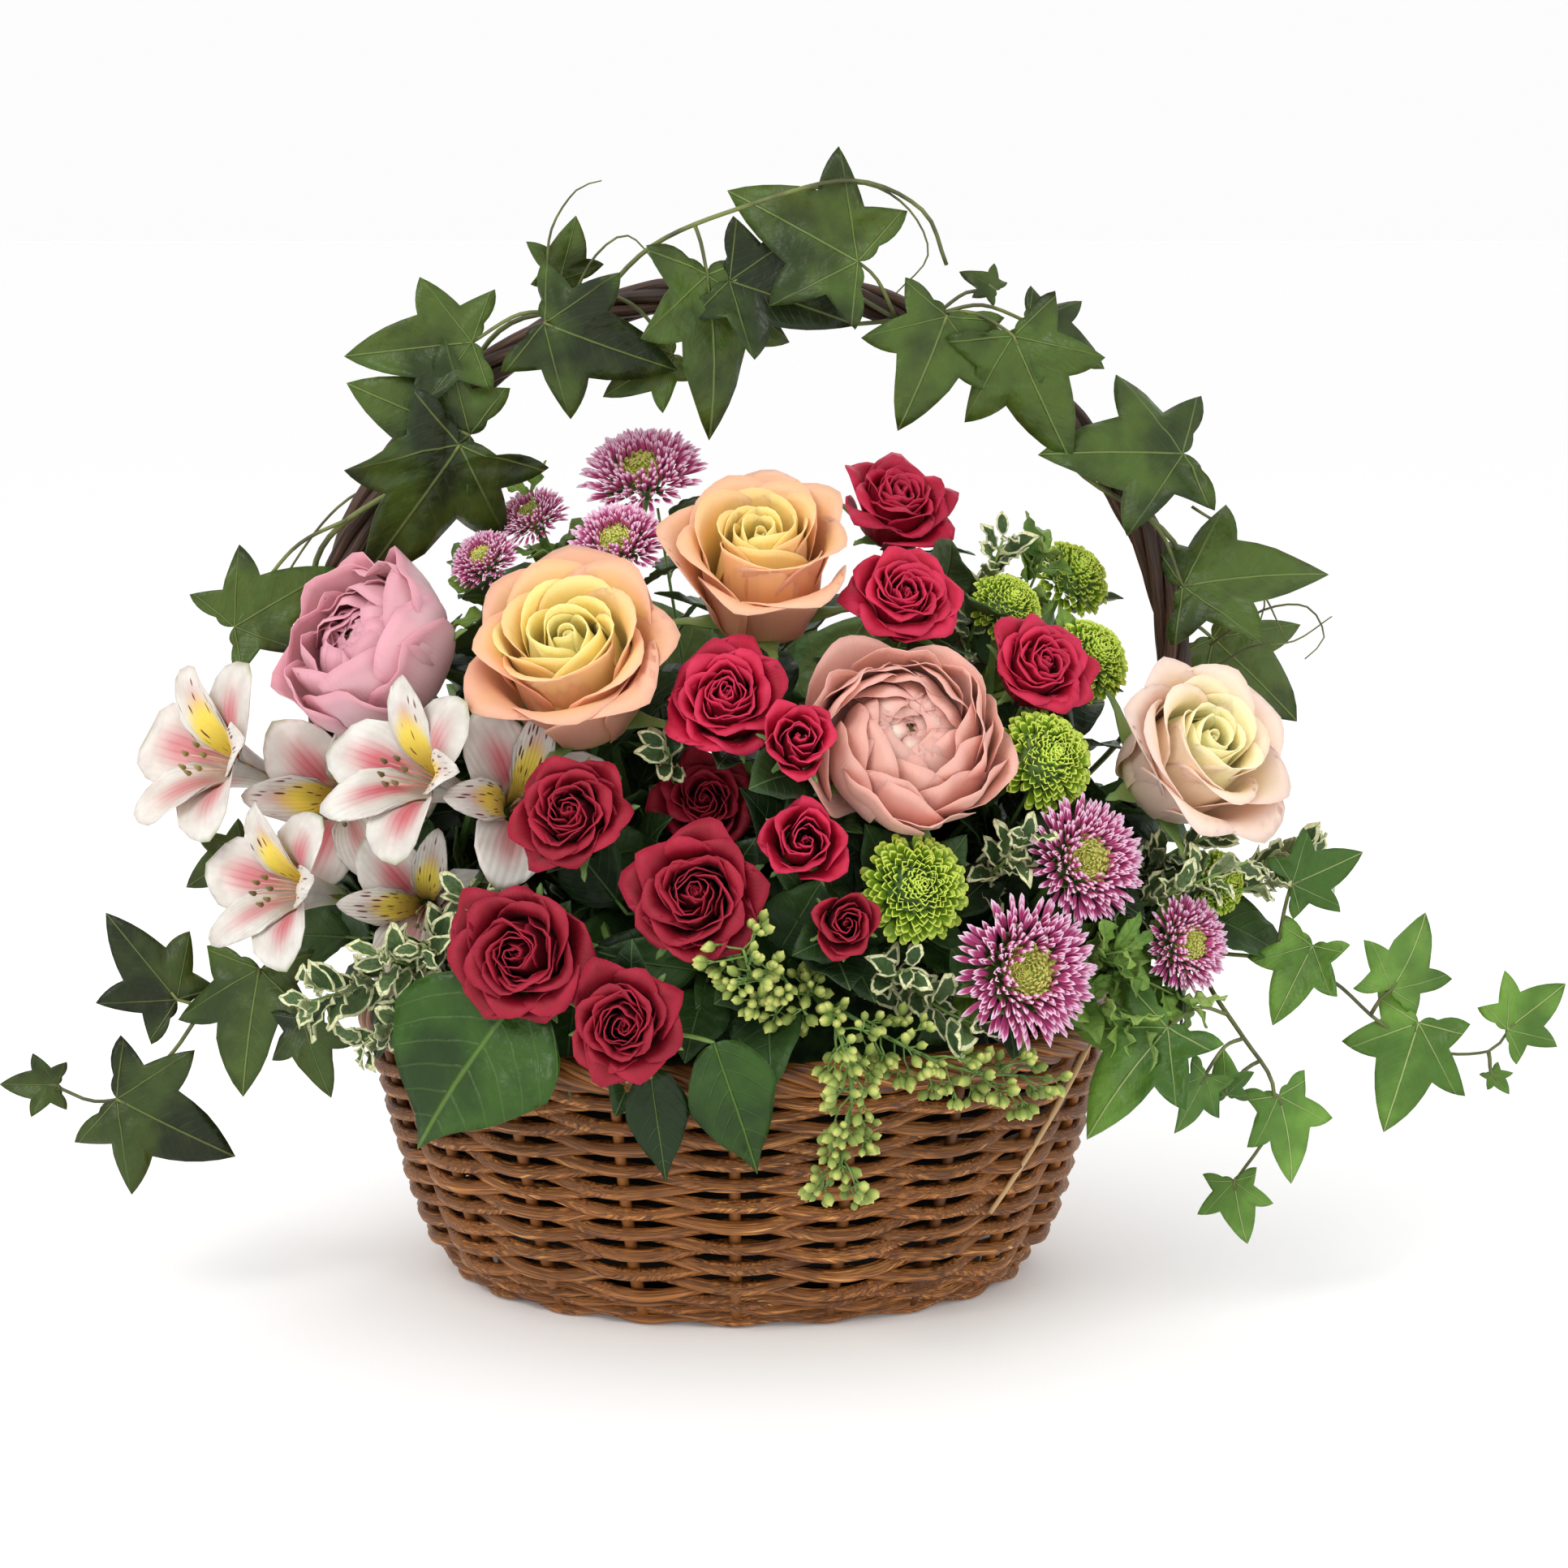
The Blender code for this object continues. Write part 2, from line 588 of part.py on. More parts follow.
def leaf(base, tip, outline, width=FULL_WIDTH, face=IVY_FACE):
    """A thin leaf plate from its base to its tip, curled back a little at its edges."""
    base, tip = Vector(base), Vector(tip)
    length = (tip - base).length
    along = (tip - base).normalized()
    normal = (face - along * face.dot(along)).normalized()
    across = normal.cross(along)
    half = [(u, v * width) for u, v in outline]
    edge = half + [(u, -v) for u, v in reversed(half[1:-1])]
    middle_at = 0.3
    points = []
    for side in (0.5, -0.5):
        for u, v in (*edge, (middle_at, 0)):
            curl = LEAF_DROOP * ((u - middle_at) ** 2 + v ** 2) * length
            points.append(base + along * u * length + across * v * length
                          + normal * (side * LEAF_THICKNESS - curl))
    count = len(edge)
    faces = []
    for step in range(count):
        after = (step + 1) % count
        lower = count + 1
        faces.append((step, after, count))
        faces.append((lower + after, lower + step, lower + count))
        faces.append((after, step, lower + step, lower + after))
    return make_mesh(points, faces)


def petiole(vine, base, tip):
    """A thin stalk from the nearest point of a vine to just inside a leaf's base."""
    base, tip = Vector(base), Vector(tip)
    same_side = [point for point in vine if point.y * base.y > 7 * abs(base.y)]
    start = min(same_side or vine, key=lambda point: (point - base).length)
    end = base + (tip - base).normalized() * 2
    middle = (start + end) / 2 + Vector((0, 0, 0.08 * (end - start).length))
    return tube(smooth_path((start, middle, end), 12), PETIOLE_RADIUS, PETIOLE_SIDES)


def leafy(name, shoots, leaves, outline, colour, width=FULL_WIDTH, face=IVY_FACE, radius=VINE_RADIUS):
    """A branch of shoots and leaves as one solid."""
    pieces = [tube(shoot, radius, VINE_SIDES, 0.6) for shoot in shoots]
    points = [point for shoot in shoots for point in shoot[2:]]
    for base, tip, *turned in leaves:
        pieces.append(leaf(base, tip, outline, width, Vector(turned[0]) if turned else face))
        pieces.append(petiole(points, base, tip))
    add_part(name, unite(pieces), colour, 0.45)


def twining(start_angle, end_angle, turn_start):
    """Points of a vine that winds round the handle between two angles of its arch."""
    path = []
    steps = 20
    travelled = 0.0
    for step in range(steps + 1):
        angle = start_angle + (end_angle - start_angle) * step / steps
        here = handle_point(angle)
        if step:
            travelled += (here - before).length
        before = here
        outwards = Vector((ARCH_RISE * math.cos(angle), 0, HANDLE_HALF_SPAN * math.sin(angle))).normalized()
        turn = turn_start + math.tau * travelled / TWINE_PITCH
        path.append(here + (outwards * math.sin(turn) + Vector((0, 1, 0)) * math.cos(turn)) * TWINE_RADIUS)
    return path


def build_handle_ivy():
    """Two vines that start in the foam behind the flowers and wind up the handle."""
    green = (0.05, 0.16, 0.03)
    left = twining(math.radians(173), math.radians(112), 0.0)
    over = ((-26, -13, 333), (6, -20, 346), (36, -20, 353), (58, -15, 344), (66, -10, 327))
    foot, top = stem_root(LEFT_IVY_ENTRY)
    path = [foot, *smooth_path((top, (-80, 32, 132), (-114, 20, 166), left[0]), 9)[:-1], *left,
            *smooth_path((left[-1], *over), 9)[1:]]
    leafy("ivy_handle_left", [path], HANDLE_IVY_LEFT, IVY_OUTLINE, green)

    right = twining(math.radians(7), math.radians(84), 0.0)
    foot, top = stem_root(RIGHT_IVY_ENTRY)
    path = [foot, *smooth_path((top, (92, 30, 138), (126, 18, 172), right[0]), 9)[:-1], *right]
    leafy("ivy_handle_right", [path], HANDLE_IVY_RIGHT, IVY_OUTLINE, green)


def rooted(entry, points, spacing=11):
    """A shoot from the foam through the given points."""
    foot, top = stem_root(entry)
    return [foot, *smooth_path((top, *points), spacing)]


def build_trailing_ivy():
    green = (0.09, 0.24, 0.05)
    leafy("ivy_trail_left", [rooted(TRAIL_LEFT_ENTRY, TRAIL_LEFT_VINE)], TRAIL_LEFT_LEAVES, IVY_OUTLINE,
          green)
    upper = rooted(TRAIL_RIGHT_ENTRY, TRAIL_RIGHT_VINE)
    lower = smooth_path(TRAIL_RIGHT_LOWER_VINE, 11)
    leafy("ivy_trail_right", [upper, lower], TRAIL_RIGHT_LEAVES, IVY_OUTLINE, green)


def branch_shoots(branch):
    """The shoots of a leafy branch; the first starts in the foam and the others on it."""
    entry, (main, *others), _ = branch
    return [rooted(entry, main), *(smooth_path(points, 11) for points in others)]


def build_fillers():
    """Broad leaves at the front and back, and two sprigs of small leaves."""
    salal_green = (0.06, 0.2, 0.04)
    leafy("salal_front", branch_shoots(SALAL_FRONT), SALAL_FRONT[2], OVAL_OUTLINE, salal_green,
          face=Vector((0, -1, 0.3)))
    leafy("salal_back", branch_shoots(SALAL_BACK), SALAL_BACK[2], OVAL_OUTLINE, salal_green,
          face=Vector((0, 1, 0.3)))
    for name, branch in (("pittosporum_left", PITTOSPORUM_LEFT), ("pittosporum_right", PITTOSPORUM_RIGHT)):
        leafy(name, branch_shoots(branch), branch[2], OVAL_OUTLINE, (0.25, 0.33, 0.14), NARROW_WIDTH)


def berry(centre):
    """A small round berry."""
    rows = ((0.6, -0.75), (1.0, 0.0), (0.6, 0.75))
    rings = [[
        centre + Vector((math.cos(math.tau * side / BERRY_SIDES) * reach,
                         math.sin(math.tau * side / BERRY_SIDES) * reach, rise)) * BERRY_RADIUS
        for side in range(BERRY_SIDES)] for reach, rise in rows]
    return make_mesh(*loft(rings))


def build_eucalyptus():
    """A seeded eucalyptus stem whose three shoots hang over the front rim."""
    trunk = rooted(EUCALYPTUS_ENTRY, (EUCALYPTUS_FORK,))
    pieces = [tube(trunk, VINE_RADIUS, VINE_SIDES)]
    for points in EUCALYPTUS_SHOOTS:
        shoot = smooth_path((EUCALYPTUS_FORK, *points), BERRY_SPACING)
        pieces.append(tube(shoot, VINE_RADIUS * 0.7, PETIOLE_SIDES))
        pieces += [berry(point) for point in shoot[2:]]
    add_part("seeded_eucalyptus", unite(pieces), (0.42, 0.5, 0.12), 0.5)


def stem_roots():
    """Every (entry, radius) pair that the foam is bored for."""
    roots = [(entry, radius) for radius, entry, _, _ in STEMS.values()]
    vines = (LEFT_IVY_ENTRY, RIGHT_IVY_ENTRY, TRAIL_LEFT_ENTRY, TRAIL_RIGHT_ENTRY, EUCALYPTUS_ENTRY,
             SALAL_FRONT[0], SALAL_BACK[0], PITTOSPORUM_LEFT[0], PITTOSPORUM_RIGHT[0])
    return roots + [(entry, VINE_RADIUS) for entry in vines]


def main():
    clear_scene()
    build_basket()
    build_handle()
    build_liner()
    build_foam(stem_roots())
    for name in BLOOMS:
        build_bloom(name)
    for name in STEMS:
        build_stem(name)
    build_handle_ivy()
    build_trailing_ivy()
    build_fillers()
    build_eucalyptus()


main()
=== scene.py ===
# %% [markdown]
# # A flower basket, petal by petal
# The frame holds one plain solid for every bloom, stem, vine and basket part. This lesson turns
# each of them into something that looks grown or woven, without moving any of them.

# %% Load the frame
import math

import bpy
import numpy as np
from mathutils import Matrix, Vector


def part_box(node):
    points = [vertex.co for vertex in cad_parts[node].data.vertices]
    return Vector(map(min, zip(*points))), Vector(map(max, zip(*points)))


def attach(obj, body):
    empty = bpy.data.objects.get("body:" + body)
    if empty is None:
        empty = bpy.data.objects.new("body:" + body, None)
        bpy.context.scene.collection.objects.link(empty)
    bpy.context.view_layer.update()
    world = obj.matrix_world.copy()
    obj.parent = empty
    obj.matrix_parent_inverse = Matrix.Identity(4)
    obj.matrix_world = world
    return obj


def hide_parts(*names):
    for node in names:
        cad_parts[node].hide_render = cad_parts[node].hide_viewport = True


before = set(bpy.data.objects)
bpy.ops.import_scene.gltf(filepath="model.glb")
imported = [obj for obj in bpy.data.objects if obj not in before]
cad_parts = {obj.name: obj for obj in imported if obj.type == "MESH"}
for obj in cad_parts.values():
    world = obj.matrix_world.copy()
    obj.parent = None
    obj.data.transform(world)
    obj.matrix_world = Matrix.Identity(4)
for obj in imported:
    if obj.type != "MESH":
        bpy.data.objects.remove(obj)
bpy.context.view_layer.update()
MM = 0.001
BODY = "root"
print("nodes in the frame:", len(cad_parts))

# %% [markdown]
# Petals, leaves, stalks and rods are all thin closed skins. One small collector keeps the points,
# the faces and a few numbers for each point, and turns them into one mesh at the end. The numbers
# are `layer` (0 at a bloom's heart, 1 at its outermost petal), `tone` (a chance difference between
# pieces), `side` (1 on the face that looks at the heart) and `rim` (1 at a leaf's edge). Materials
# read them, so one material paints a whole flower.

# %% A collector for thin closed skins
def unit(vectors):
    length = np.linalg.norm(vectors, axis=-1, keepdims=True)
    return vectors / np.maximum(length, 1e-12)


class Skin:
    """Gathers closed skins and makes one mesh of them."""

    NUMBERS = ("layer", "tone", "side", "rim")

    def __init__(self):
        self.points, self.faces, self.uv, self.finish = [], [], [], []
        self.numbers = {name: [] for name in self.NUMBERS}
        self.count = 0

    def add(self, points, faces, uv, finish=0, **numbers):
        """Adds points, faces by index, and a (u, v) for each point."""
        self.points.append(points)
        self.uv.append(uv)
        self.faces += [tuple(self.count + corner for corner in face) for face in faces]
        self.finish += [finish] * len(faces)
        for name in self.NUMBERS:
            self.numbers[name].append(np.broadcast_to(numbers.get(name, 0.0), len(points)))
        self.count += len(points)

    def sheet(self, grid, thickness, **numbers):
        """Adds a thin closed sheet whose middle is a grid of points, base row first."""
        rows, columns = grid.shape[:2]
        across, along = np.gradient(grid, axis=1), np.gradient(grid, axis=0)
        normal = unit(np.cross(across, along))
        points = np.concatenate([(grid + normal * thickness / 2).reshape(-1, 3),
                                 (grid - normal * thickness / 2).reshape(-1, 3)])
        cell = np.arange(rows * columns).reshape(rows, columns)
        front = np.stack([cell[:-1, :-1], cell[:-1, 1:], cell[1:, 1:], cell[1:, :-1]], -1).reshape(-1, 4)
        back = front[:, ::-1] + cell.size
        edge = np.concatenate([cell[0, :-1], cell[:-1, -1], cell[-1, :0:-1], cell[:0:-1, 0]])
        after = np.roll(edge, -1)
        wall = np.stack([after, edge, edge + cell.size, after + cell.size], -1)
        u, v = np.meshgrid(np.linspace(0, 1, columns), np.linspace(0, 1, rows))
        uv = np.tile(np.stack([u, v], -1).reshape(-1, 2), (2, 1))
        numbers["side"] = np.repeat((0.0, 1.0), cell.size)
        self.add(points, np.concatenate([front, back, wall]).tolist(), uv, **numbers)

    def move(self, matrix):
        """Carries every point so far from a piece's own frame into its place."""
        turn = np.array(matrix.to_3x3())
        self.points = [points @ turn.T + np.array(matrix.translation) for points in self.points]

    def piece(self, name, *materials):
        """One object with everything that was gathered."""
        mesh = bpy.data.meshes.new(name)
        mesh.from_pydata(np.concatenate(self.points), [], self.faces)
        corners = np.array([corner for face in self.faces for corner in face])
        petal_map = mesh.uv_layers.new(name="petal_map")
        petal_map.uv.foreach_set("vector", np.concatenate(self.uv)[corners].ravel())
        for number, values in self.numbers.items():
            layer = mesh.attributes.new(number, "FLOAT", "POINT")
            layer.data.foreach_set("value", np.concatenate(values).astype(np.float32))
        for material in materials:
            mesh.materials.append(material)
        mesh.polygons.foreach_set("material_index", self.finish)
        mesh.shade_smooth()
        return place(bpy.data.objects.new(name, mesh))


def place(piece):
    """Puts an object into the scene."""
    bpy.context.scene.collection.objects.link(piece)
    print(f"{piece.name}: {len(piece.data.polygons)} faces")
    return piece


def settle(piece, slot, *nodes):
    """Attaches a finished piece to the frame's root body and hides the nodes that it stands for; slot is not
    used.
    """
    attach(piece, BODY)
    if nodes:
        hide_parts(*nodes)


# %% [markdown]
# Stalks, vines and twigs are tubes along a smooth line. The line is a Catmull-Rom curve, which
# passes through each of its points, so a few given points give a natural sweep. A tube and
# a small turned shape, such as the green cup under a bloom, are both rings of points, joined in the
# same way.

# %% Smooth lines, tubes and turned shapes
def smooth_line(points, spacing):
    """Points on a smooth curve through the given ones, about spacing apart."""
    points = [Vector(point) for point in points]
    ends = [points[0] * 2 - points[1], *points, points[-1] * 2 - points[-2]]
    line = [points[0]]
    for before, start, end, after in zip(ends, ends[1:], ends[2:], ends[3:]):
        steps = max(1, round((end - start).length / spacing))
        for step in range(1, steps + 1):
            t = step / steps
            line.append(0.5 * (2 * start + (end - before) * t
                               + (2 * before - 5 * start + 4 * end - after) * t ** 2
                               + (3 * start - before - 3 * end + after) * t ** 3))
    return line


def ring_faces(rings, sides):
    """Faces of a closed shape made of rings of points: its two ends, then its wall ring by ring."""
    wall = [(row * sides + side, row * sides + (side + 1) % sides,
             (row + 1) * sides + (side + 1) % sides, (row + 1) * sides + side)
            for row in range(rings - 1) for side in range(sides)]
    return [tuple(range(sides))[::-1], tuple(range((rings - 1) * sides, rings * sides)), *wall]


def turned_points(rings, sides, radius=1.0, height=1.0):
    """Points of a turned shape, whose rings are (radius, height) shares from its foot up."""
    turn = np.linspace(0, math.tau, sides, endpoint=False)
    return np.concatenate([np.stack([np.cos(turn) * radius * out, np.sin(turn) * radius * out,
                                     np.full(sides, height * up)], -1) for out, up in rings])


def add_tube(skin, line, radius, tip=0.6, sides=6, **numbers):
    """A closed round tube along a line, narrowing to tip of its radius."""
    line = np.array([tuple(point) for point in line])
    ahead = unit(np.gradient(line, axis=0))
    across = np.array(Vector(ahead[0]).orthogonal().normalized())
    turn = np.linspace(0, math.tau, sides, endpoint=False)
    rings = []
    for step, point in enumerate(line):
        across = unit(across - ahead[step] * (across @ ahead[step]))
        up = np.cross(ahead[step], across)
        here = radius * (1 + (tip - 1) * step / (len(line) - 1))
        rings.append(point + here * (np.outer(np.cos(turn), across) + np.outer(np.sin(turn), up)))
    travelled = np.linspace(0, 1, len(line))
    uv = np.stack([np.tile(turn / math.tau, len(line)), np.repeat(travelled, sides)], -1)
    skin.add(np.concatenate(rings), ring_faces(len(line), sides), uv, **numbers)


def add_twig(skin, line, radius, tip=0.6, finish=1, **numbers):
    """A tube whose line and radius are in millimetres, in the second finish unless told otherwise."""
    add_tube(skin, [Vector(point) * MM for point in line], radius * MM, tip, finish=finish, **numbers)


# %% [markdown]
# Materials and Geometry Nodes are both trees of nodes. Wiring them by hand is long, so this helper
# adds a node, sets its options and fills its inputs in one call. An input takes a plain value or
# the output of another node.

# %% A helper that wires nodes
class Wiring:
    """Adds nodes to a tree; an input given as a socket is linked, anything else is set."""

    def __init__(self, tree):
        self.tree = tree

    def node(self, kind, inputs=None, **options):
        node = self.tree.nodes.new(kind)
        for option, value in options.items():
            setattr(node, option, value)
        for socket, value in (inputs or {}).items():
            self.fill(node.inputs[socket], value)
        return node

    def fill(self, socket, value):
        if isinstance(value, bpy.types.NodeSocket):
            self.tree.links.new(value, socket)
        elif value is not None:
            socket.default_value = value

    def math(self, operation, first, second=None, clamp=False):
        node = self.node("ShaderNodeMath", operation=operation, use_clamp=clamp)
        for socket, value in zip(node.inputs, (first, second)):
            self.fill(socket, value)
        return node.outputs[0]

    def plus(self, first, second, clamp=False):
        return self.math("ADD", first, second, clamp)

    def minus(self, first, second):
        return self.math("SUBTRACT", first, second)

    def times(self, first, second, clamp=False):
        return self.math("MULTIPLY", first, second, clamp)

    def vector(self, x=0.0, y=0.0, z=0.0):
        return self.node("ShaderNodeCombineXYZ", {0: x, 1: y, 2: z}).outputs[0]

    def scaled(self, vector, amount):
        """A vector or a colour times an amount."""
        node = self.node("ShaderNodeVectorMath", {0: vector}, operation="SCALE")
        self.fill(node.inputs[3], amount)
        return node.outputs[0]

    def between(self, value, low, high, to_low=0.0, to_high=1.0):
        """A value's place between low and high, kept within the two results."""
        return self.node("ShaderNodeMapRange", {0: value, 1: low, 2: high, 3: to_low, 4: to_high},
                         interpolation_type="SMOOTHSTEP").outputs[0]


def tint(red, green, blue):
    """A colour as it is seen, 0 to 255, as the light that a shader wants."""
    return tuple(((part / 255 + 0.055) / 1.055) ** 2.4 if part > 10 else part / 3295
                 for part in (red, green, blue))


class Finish(Wiring):
    """A material around one Principled shader, with short words for what petals and leaves need."""

    def __init__(self, name, roughness=0.5, **sockets):
        self.material = bpy.data.materials.new(name)
        self.material.use_nodes = True
        super().__init__(self.material.node_tree)
        self.shader = self.tree.nodes["Principled BSDF"]
        self.shader.inputs["Roughness"].default_value = roughness
        for socket, value in sockets.items():
            self.shader.inputs[socket.replace("_", " ").title()].default_value = value

    def number(self, name):
        return self.node("ShaderNodeAttribute", attribute_name=name).outputs["Fac"]

    def petal_uv(self):
        """How far across the petal, and how far from its base to its edge."""
        petal_map = self.node("ShaderNodeUVMap", uv_map="petal_map").outputs[0]
        split = self.node("ShaderNodeSeparateXYZ", {0: petal_map})
        return split.outputs[0], split.outputs[1]

    def mix(self, share, first, second):
        node = self.node("ShaderNodeMix", data_type="RGBA")
        for socket, value in ((0, share), (6, first), (7, second)):
            self.fill(node.inputs[socket], (*value, 1) if isinstance(value, tuple) else value)
        return node.outputs[2]

    def noise(self, scale, detail=3.0, vector=None, distortion=0.0):
        vector = vector or self.node("ShaderNodeTexCoord").outputs["Object"]
        return self.node("ShaderNodeTexNoise", {"Vector": vector, "Scale": scale, "Detail": detail,
                                                "Distortion": distortion}).outputs[0]

    def relief(self, height, depth, under=None):
        """A bump of a depth in metres, on top of the one under it."""
        return self.node("ShaderNodeBump", {"Height": height, "Distance": depth, "Strength": 1.0,
                                            "Normal": under}).outputs[0]

    def done(self, colour, normal=None, roughness=None):
        """Fills the shader and gives the finished material."""
        self.fill(self.shader.inputs["Base Color"], colour)
        self.fill(self.shader.inputs["Normal"], normal)
        self.fill(self.shader.inputs["Roughness"], roughness)
        return self.material


# %% [markdown]
# ## Where each bloom stands
# Each bloom is a turned solid in the frame. Its points spread alike in the two directions across
# its axis and differently along it, so the odd direction among the three main ones is the axis.
# Reading it this way keeps every flower in the space that was made for it.

# %% Measure a bloom's place
BLOOM_FOCUS = Vector((0, 10, 90)) * MM
FULLNESS = 1.1  # loose outer petals stand a little proud of the bloom's solid


class Spot:
    """The base, direction, radius and height of a bloom in the frame."""

    def __init__(self, node):
        points = np.array([tuple(vertex.co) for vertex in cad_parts[node].data.vertices])
        points = np.unique(np.round(points, 6), axis=0)
        middle = points.mean(0)
        spread, directions = np.linalg.eigh(np.cov((points - middle).T))
        axis = directions[:, 0 if spread[2] - spread[1] < spread[1] - spread[0] else 2]
        axis = axis * np.sign(axis @ (middle - np.array(BLOOM_FOCUS)))
        reach = (points - middle) @ axis
        self.height = np.ptp(reach) * (1 + FULLNESS) / 2
        self.radius = np.linalg.norm(points - middle - np.outer(reach, axis), axis=1).max() * FULLNESS
        self.base = Vector(middle + axis * reach.min())
        self.axis = Vector(axis)

    def matrix(self, right=0.0, up=0.0, roll=0.0, pivot=0.0):
        """From the bloom's own frame, whose Z is its axis, tilted a little about a point on it."""
        across = Vector((0, 0, 1)).cross(self.axis).normalized()
        axis = (self.axis + across * right + self.axis.cross(across) * up).normalized()
        foot = self.base + (self.axis - axis) * self.height * pivot
        across = Vector((0, 0, 1)).cross(axis).normalized()
        turn = Matrix((across, axis.cross(across), axis)).transposed()
        return Matrix.Translation(foot) @ turn.to_4x4() @ Matrix.Rotation(roll, 4, "Z")


print("the top rose leans", [round(x, 2) for x in Spot("peach_rose_top").axis])


# %% [markdown]
# ## One petal
# A rose petal can be sculpted, cut from a card or grown from a rule. Here it grows: its middle line
# starts at the base and leans by an angle that changes on the way up, outwards at first, upright in
# the belly, and inwards or outwards at the edge. The sheet wraps round the bloom's axis by its width,
# one side a little further out than the other, so that neighbours overlap in a spiral.

# %% Grow a petal
GOLDEN_ANGLE = math.radians(137.5)


def ease(keys, values, at):
    """Values between keys, with a smooth start and stop at each key."""
    keys, values = np.array(keys, float), np.array(values, float)
    place = np.clip(np.searchsorted(keys, at, side="right") - 1, 0, len(keys) - 2)
    share = np.clip((at - keys[place]) / (keys[place + 1] - keys[place]), 0, 1)
    share = share * share * (3 - 2 * share)
    return values[place] + (values[place + 1] - values[place]) * share


ROSE_OUTLINE = (0, 0.3, 0.68, 1.1), (0.3, 0.78, 1.0, 0.9)  # half width at shares of the length


def petal_grid(chance, length, width, leans, start, turn, wrap=2.6, spiral=0.1, cusp=0.0, roundness=0.3,
               lip=0.0, ruffle=0.0, lift=0.0, rows=13, columns=13, outline=ROSE_OUTLINE):
    """One petal's grid in the bloom's own frame. leans are degrees from upright, base to edge."""
    s = np.linspace(-1, 1, columns)[None, :]
    reach = 1 - roundness * np.abs(s) ** 2.4 + cusp * np.exp(-(s / 0.2) ** 2)
    t = np.linspace(0, 1, rows)[:, None] ** 0.9 * reach
    fine = np.linspace(0, 1.3, 90)
    lean = np.radians(ease((0, 0.4, 0.78, 1.04), leans, fine))
    step = length * (fine[1] - fine[0])
    middle_out = start + np.cumsum(np.sin(lean)) * step
    middle_up = lift + np.cumsum(np.cos(lean)) * step
    out, up = np.interp(t, fine, middle_out), np.interp(t, fine, middle_up)
    tip_lean = np.interp(t, fine, lean)
    half = width * ease(*outline, t)
    angle = s * half / np.maximum(out, 0.25 * width)
    angle = wrap * np.tanh(angle / wrap)
    phase = chance.uniform(0, math.tau, 3)
    edge = t ** 2
    wave = (np.sin(3.1 * s + phase[0]) + 0.6 * np.sin(7.3 * s + phase[1])) * edge * ruffle
    wave = wave + 0.35 * ruffle * np.sin(5 * t + 2 * s + phase[2]) * t
    back = lip * np.abs(s) ** 3 * edge + wave
    out = out * (1 + spiral * s) + back * np.cos(tip_lean)
    up = up - back * np.sin(tip_lean)
    return np.stack([out * np.cos(turn + angle), out * np.sin(turn + angle), up + 0 * s], -1)


# %% [markdown]
# ## A rose
# About thirty petals sit at the golden angle from each other. The first are short, wrapped tightly
# and closed over the heart. The last are broad and roll back at the edge, where a small point shows
# in the middle. The whole bloom is then scaled to the space that the frame keeps for it, and gets
# its hip and sepals.

# %% Petals to size, and the green under a bloom
PETAL_THICKNESS = 0.35 * MM
HIP_RINGS = ((0.35, 0.0), (0.8, 0.25), (1.0, 0.6), (0.9, 1.0), (0.4, 1.2))
SEPAL_OUTLINE = (0, 0.3, 0.8, 1.2), (0.9, 1.0, 0.35, 0.02)
SEPALS, HIP_SIDES = 5, 10


def add_petals(skin, spot, grids, most, thickness):
    """Scales petals to a bloom's place; most is the percentile of loose ones within its radius."""
    reach = [np.hypot(grid[..., 0], grid[..., 1]).max() for grid, share, _ in grids if share > 0.7]
    wide = np.percentile(reach, most)
    tall = max(grid[..., 2].max() for grid, _, _ in grids)
    scale = np.array([spot.radius / wide, spot.radius / wide, spot.height * 0.97 / tall])
    for grid, share, tone in grids:
        skin.sheet(grid * scale, thickness, layer=share, tone=tone)


def add_hip(skin, spot, chance):
    """The green cup under a bloom and the narrow sepals that spread from it."""
    bulb = spot.radius * 0.2
    points = turned_points(HIP_RINGS, HIP_SIDES, bulb, bulb)
    skin.add(points, ring_faces(len(HIP_RINGS), HIP_SIDES), np.zeros((len(points), 2)), finish=1)
    for number in range(SEPALS):
        grid = petal_grid(chance, spot.radius * 0.95, spot.radius * 0.13, (95, 68, 58, 110), bulb * 0.5,
                          number * math.tau / SEPALS + chance.uniform(-0.2, 0.2), spiral=0.0,
                          roundness=0.1, rows=7, columns=4, lift=bulb * 0.7, outline=SEPAL_OUTLINE)
        skin.sheet(grid, PETAL_THICKNESS * 1.5, finish=1)


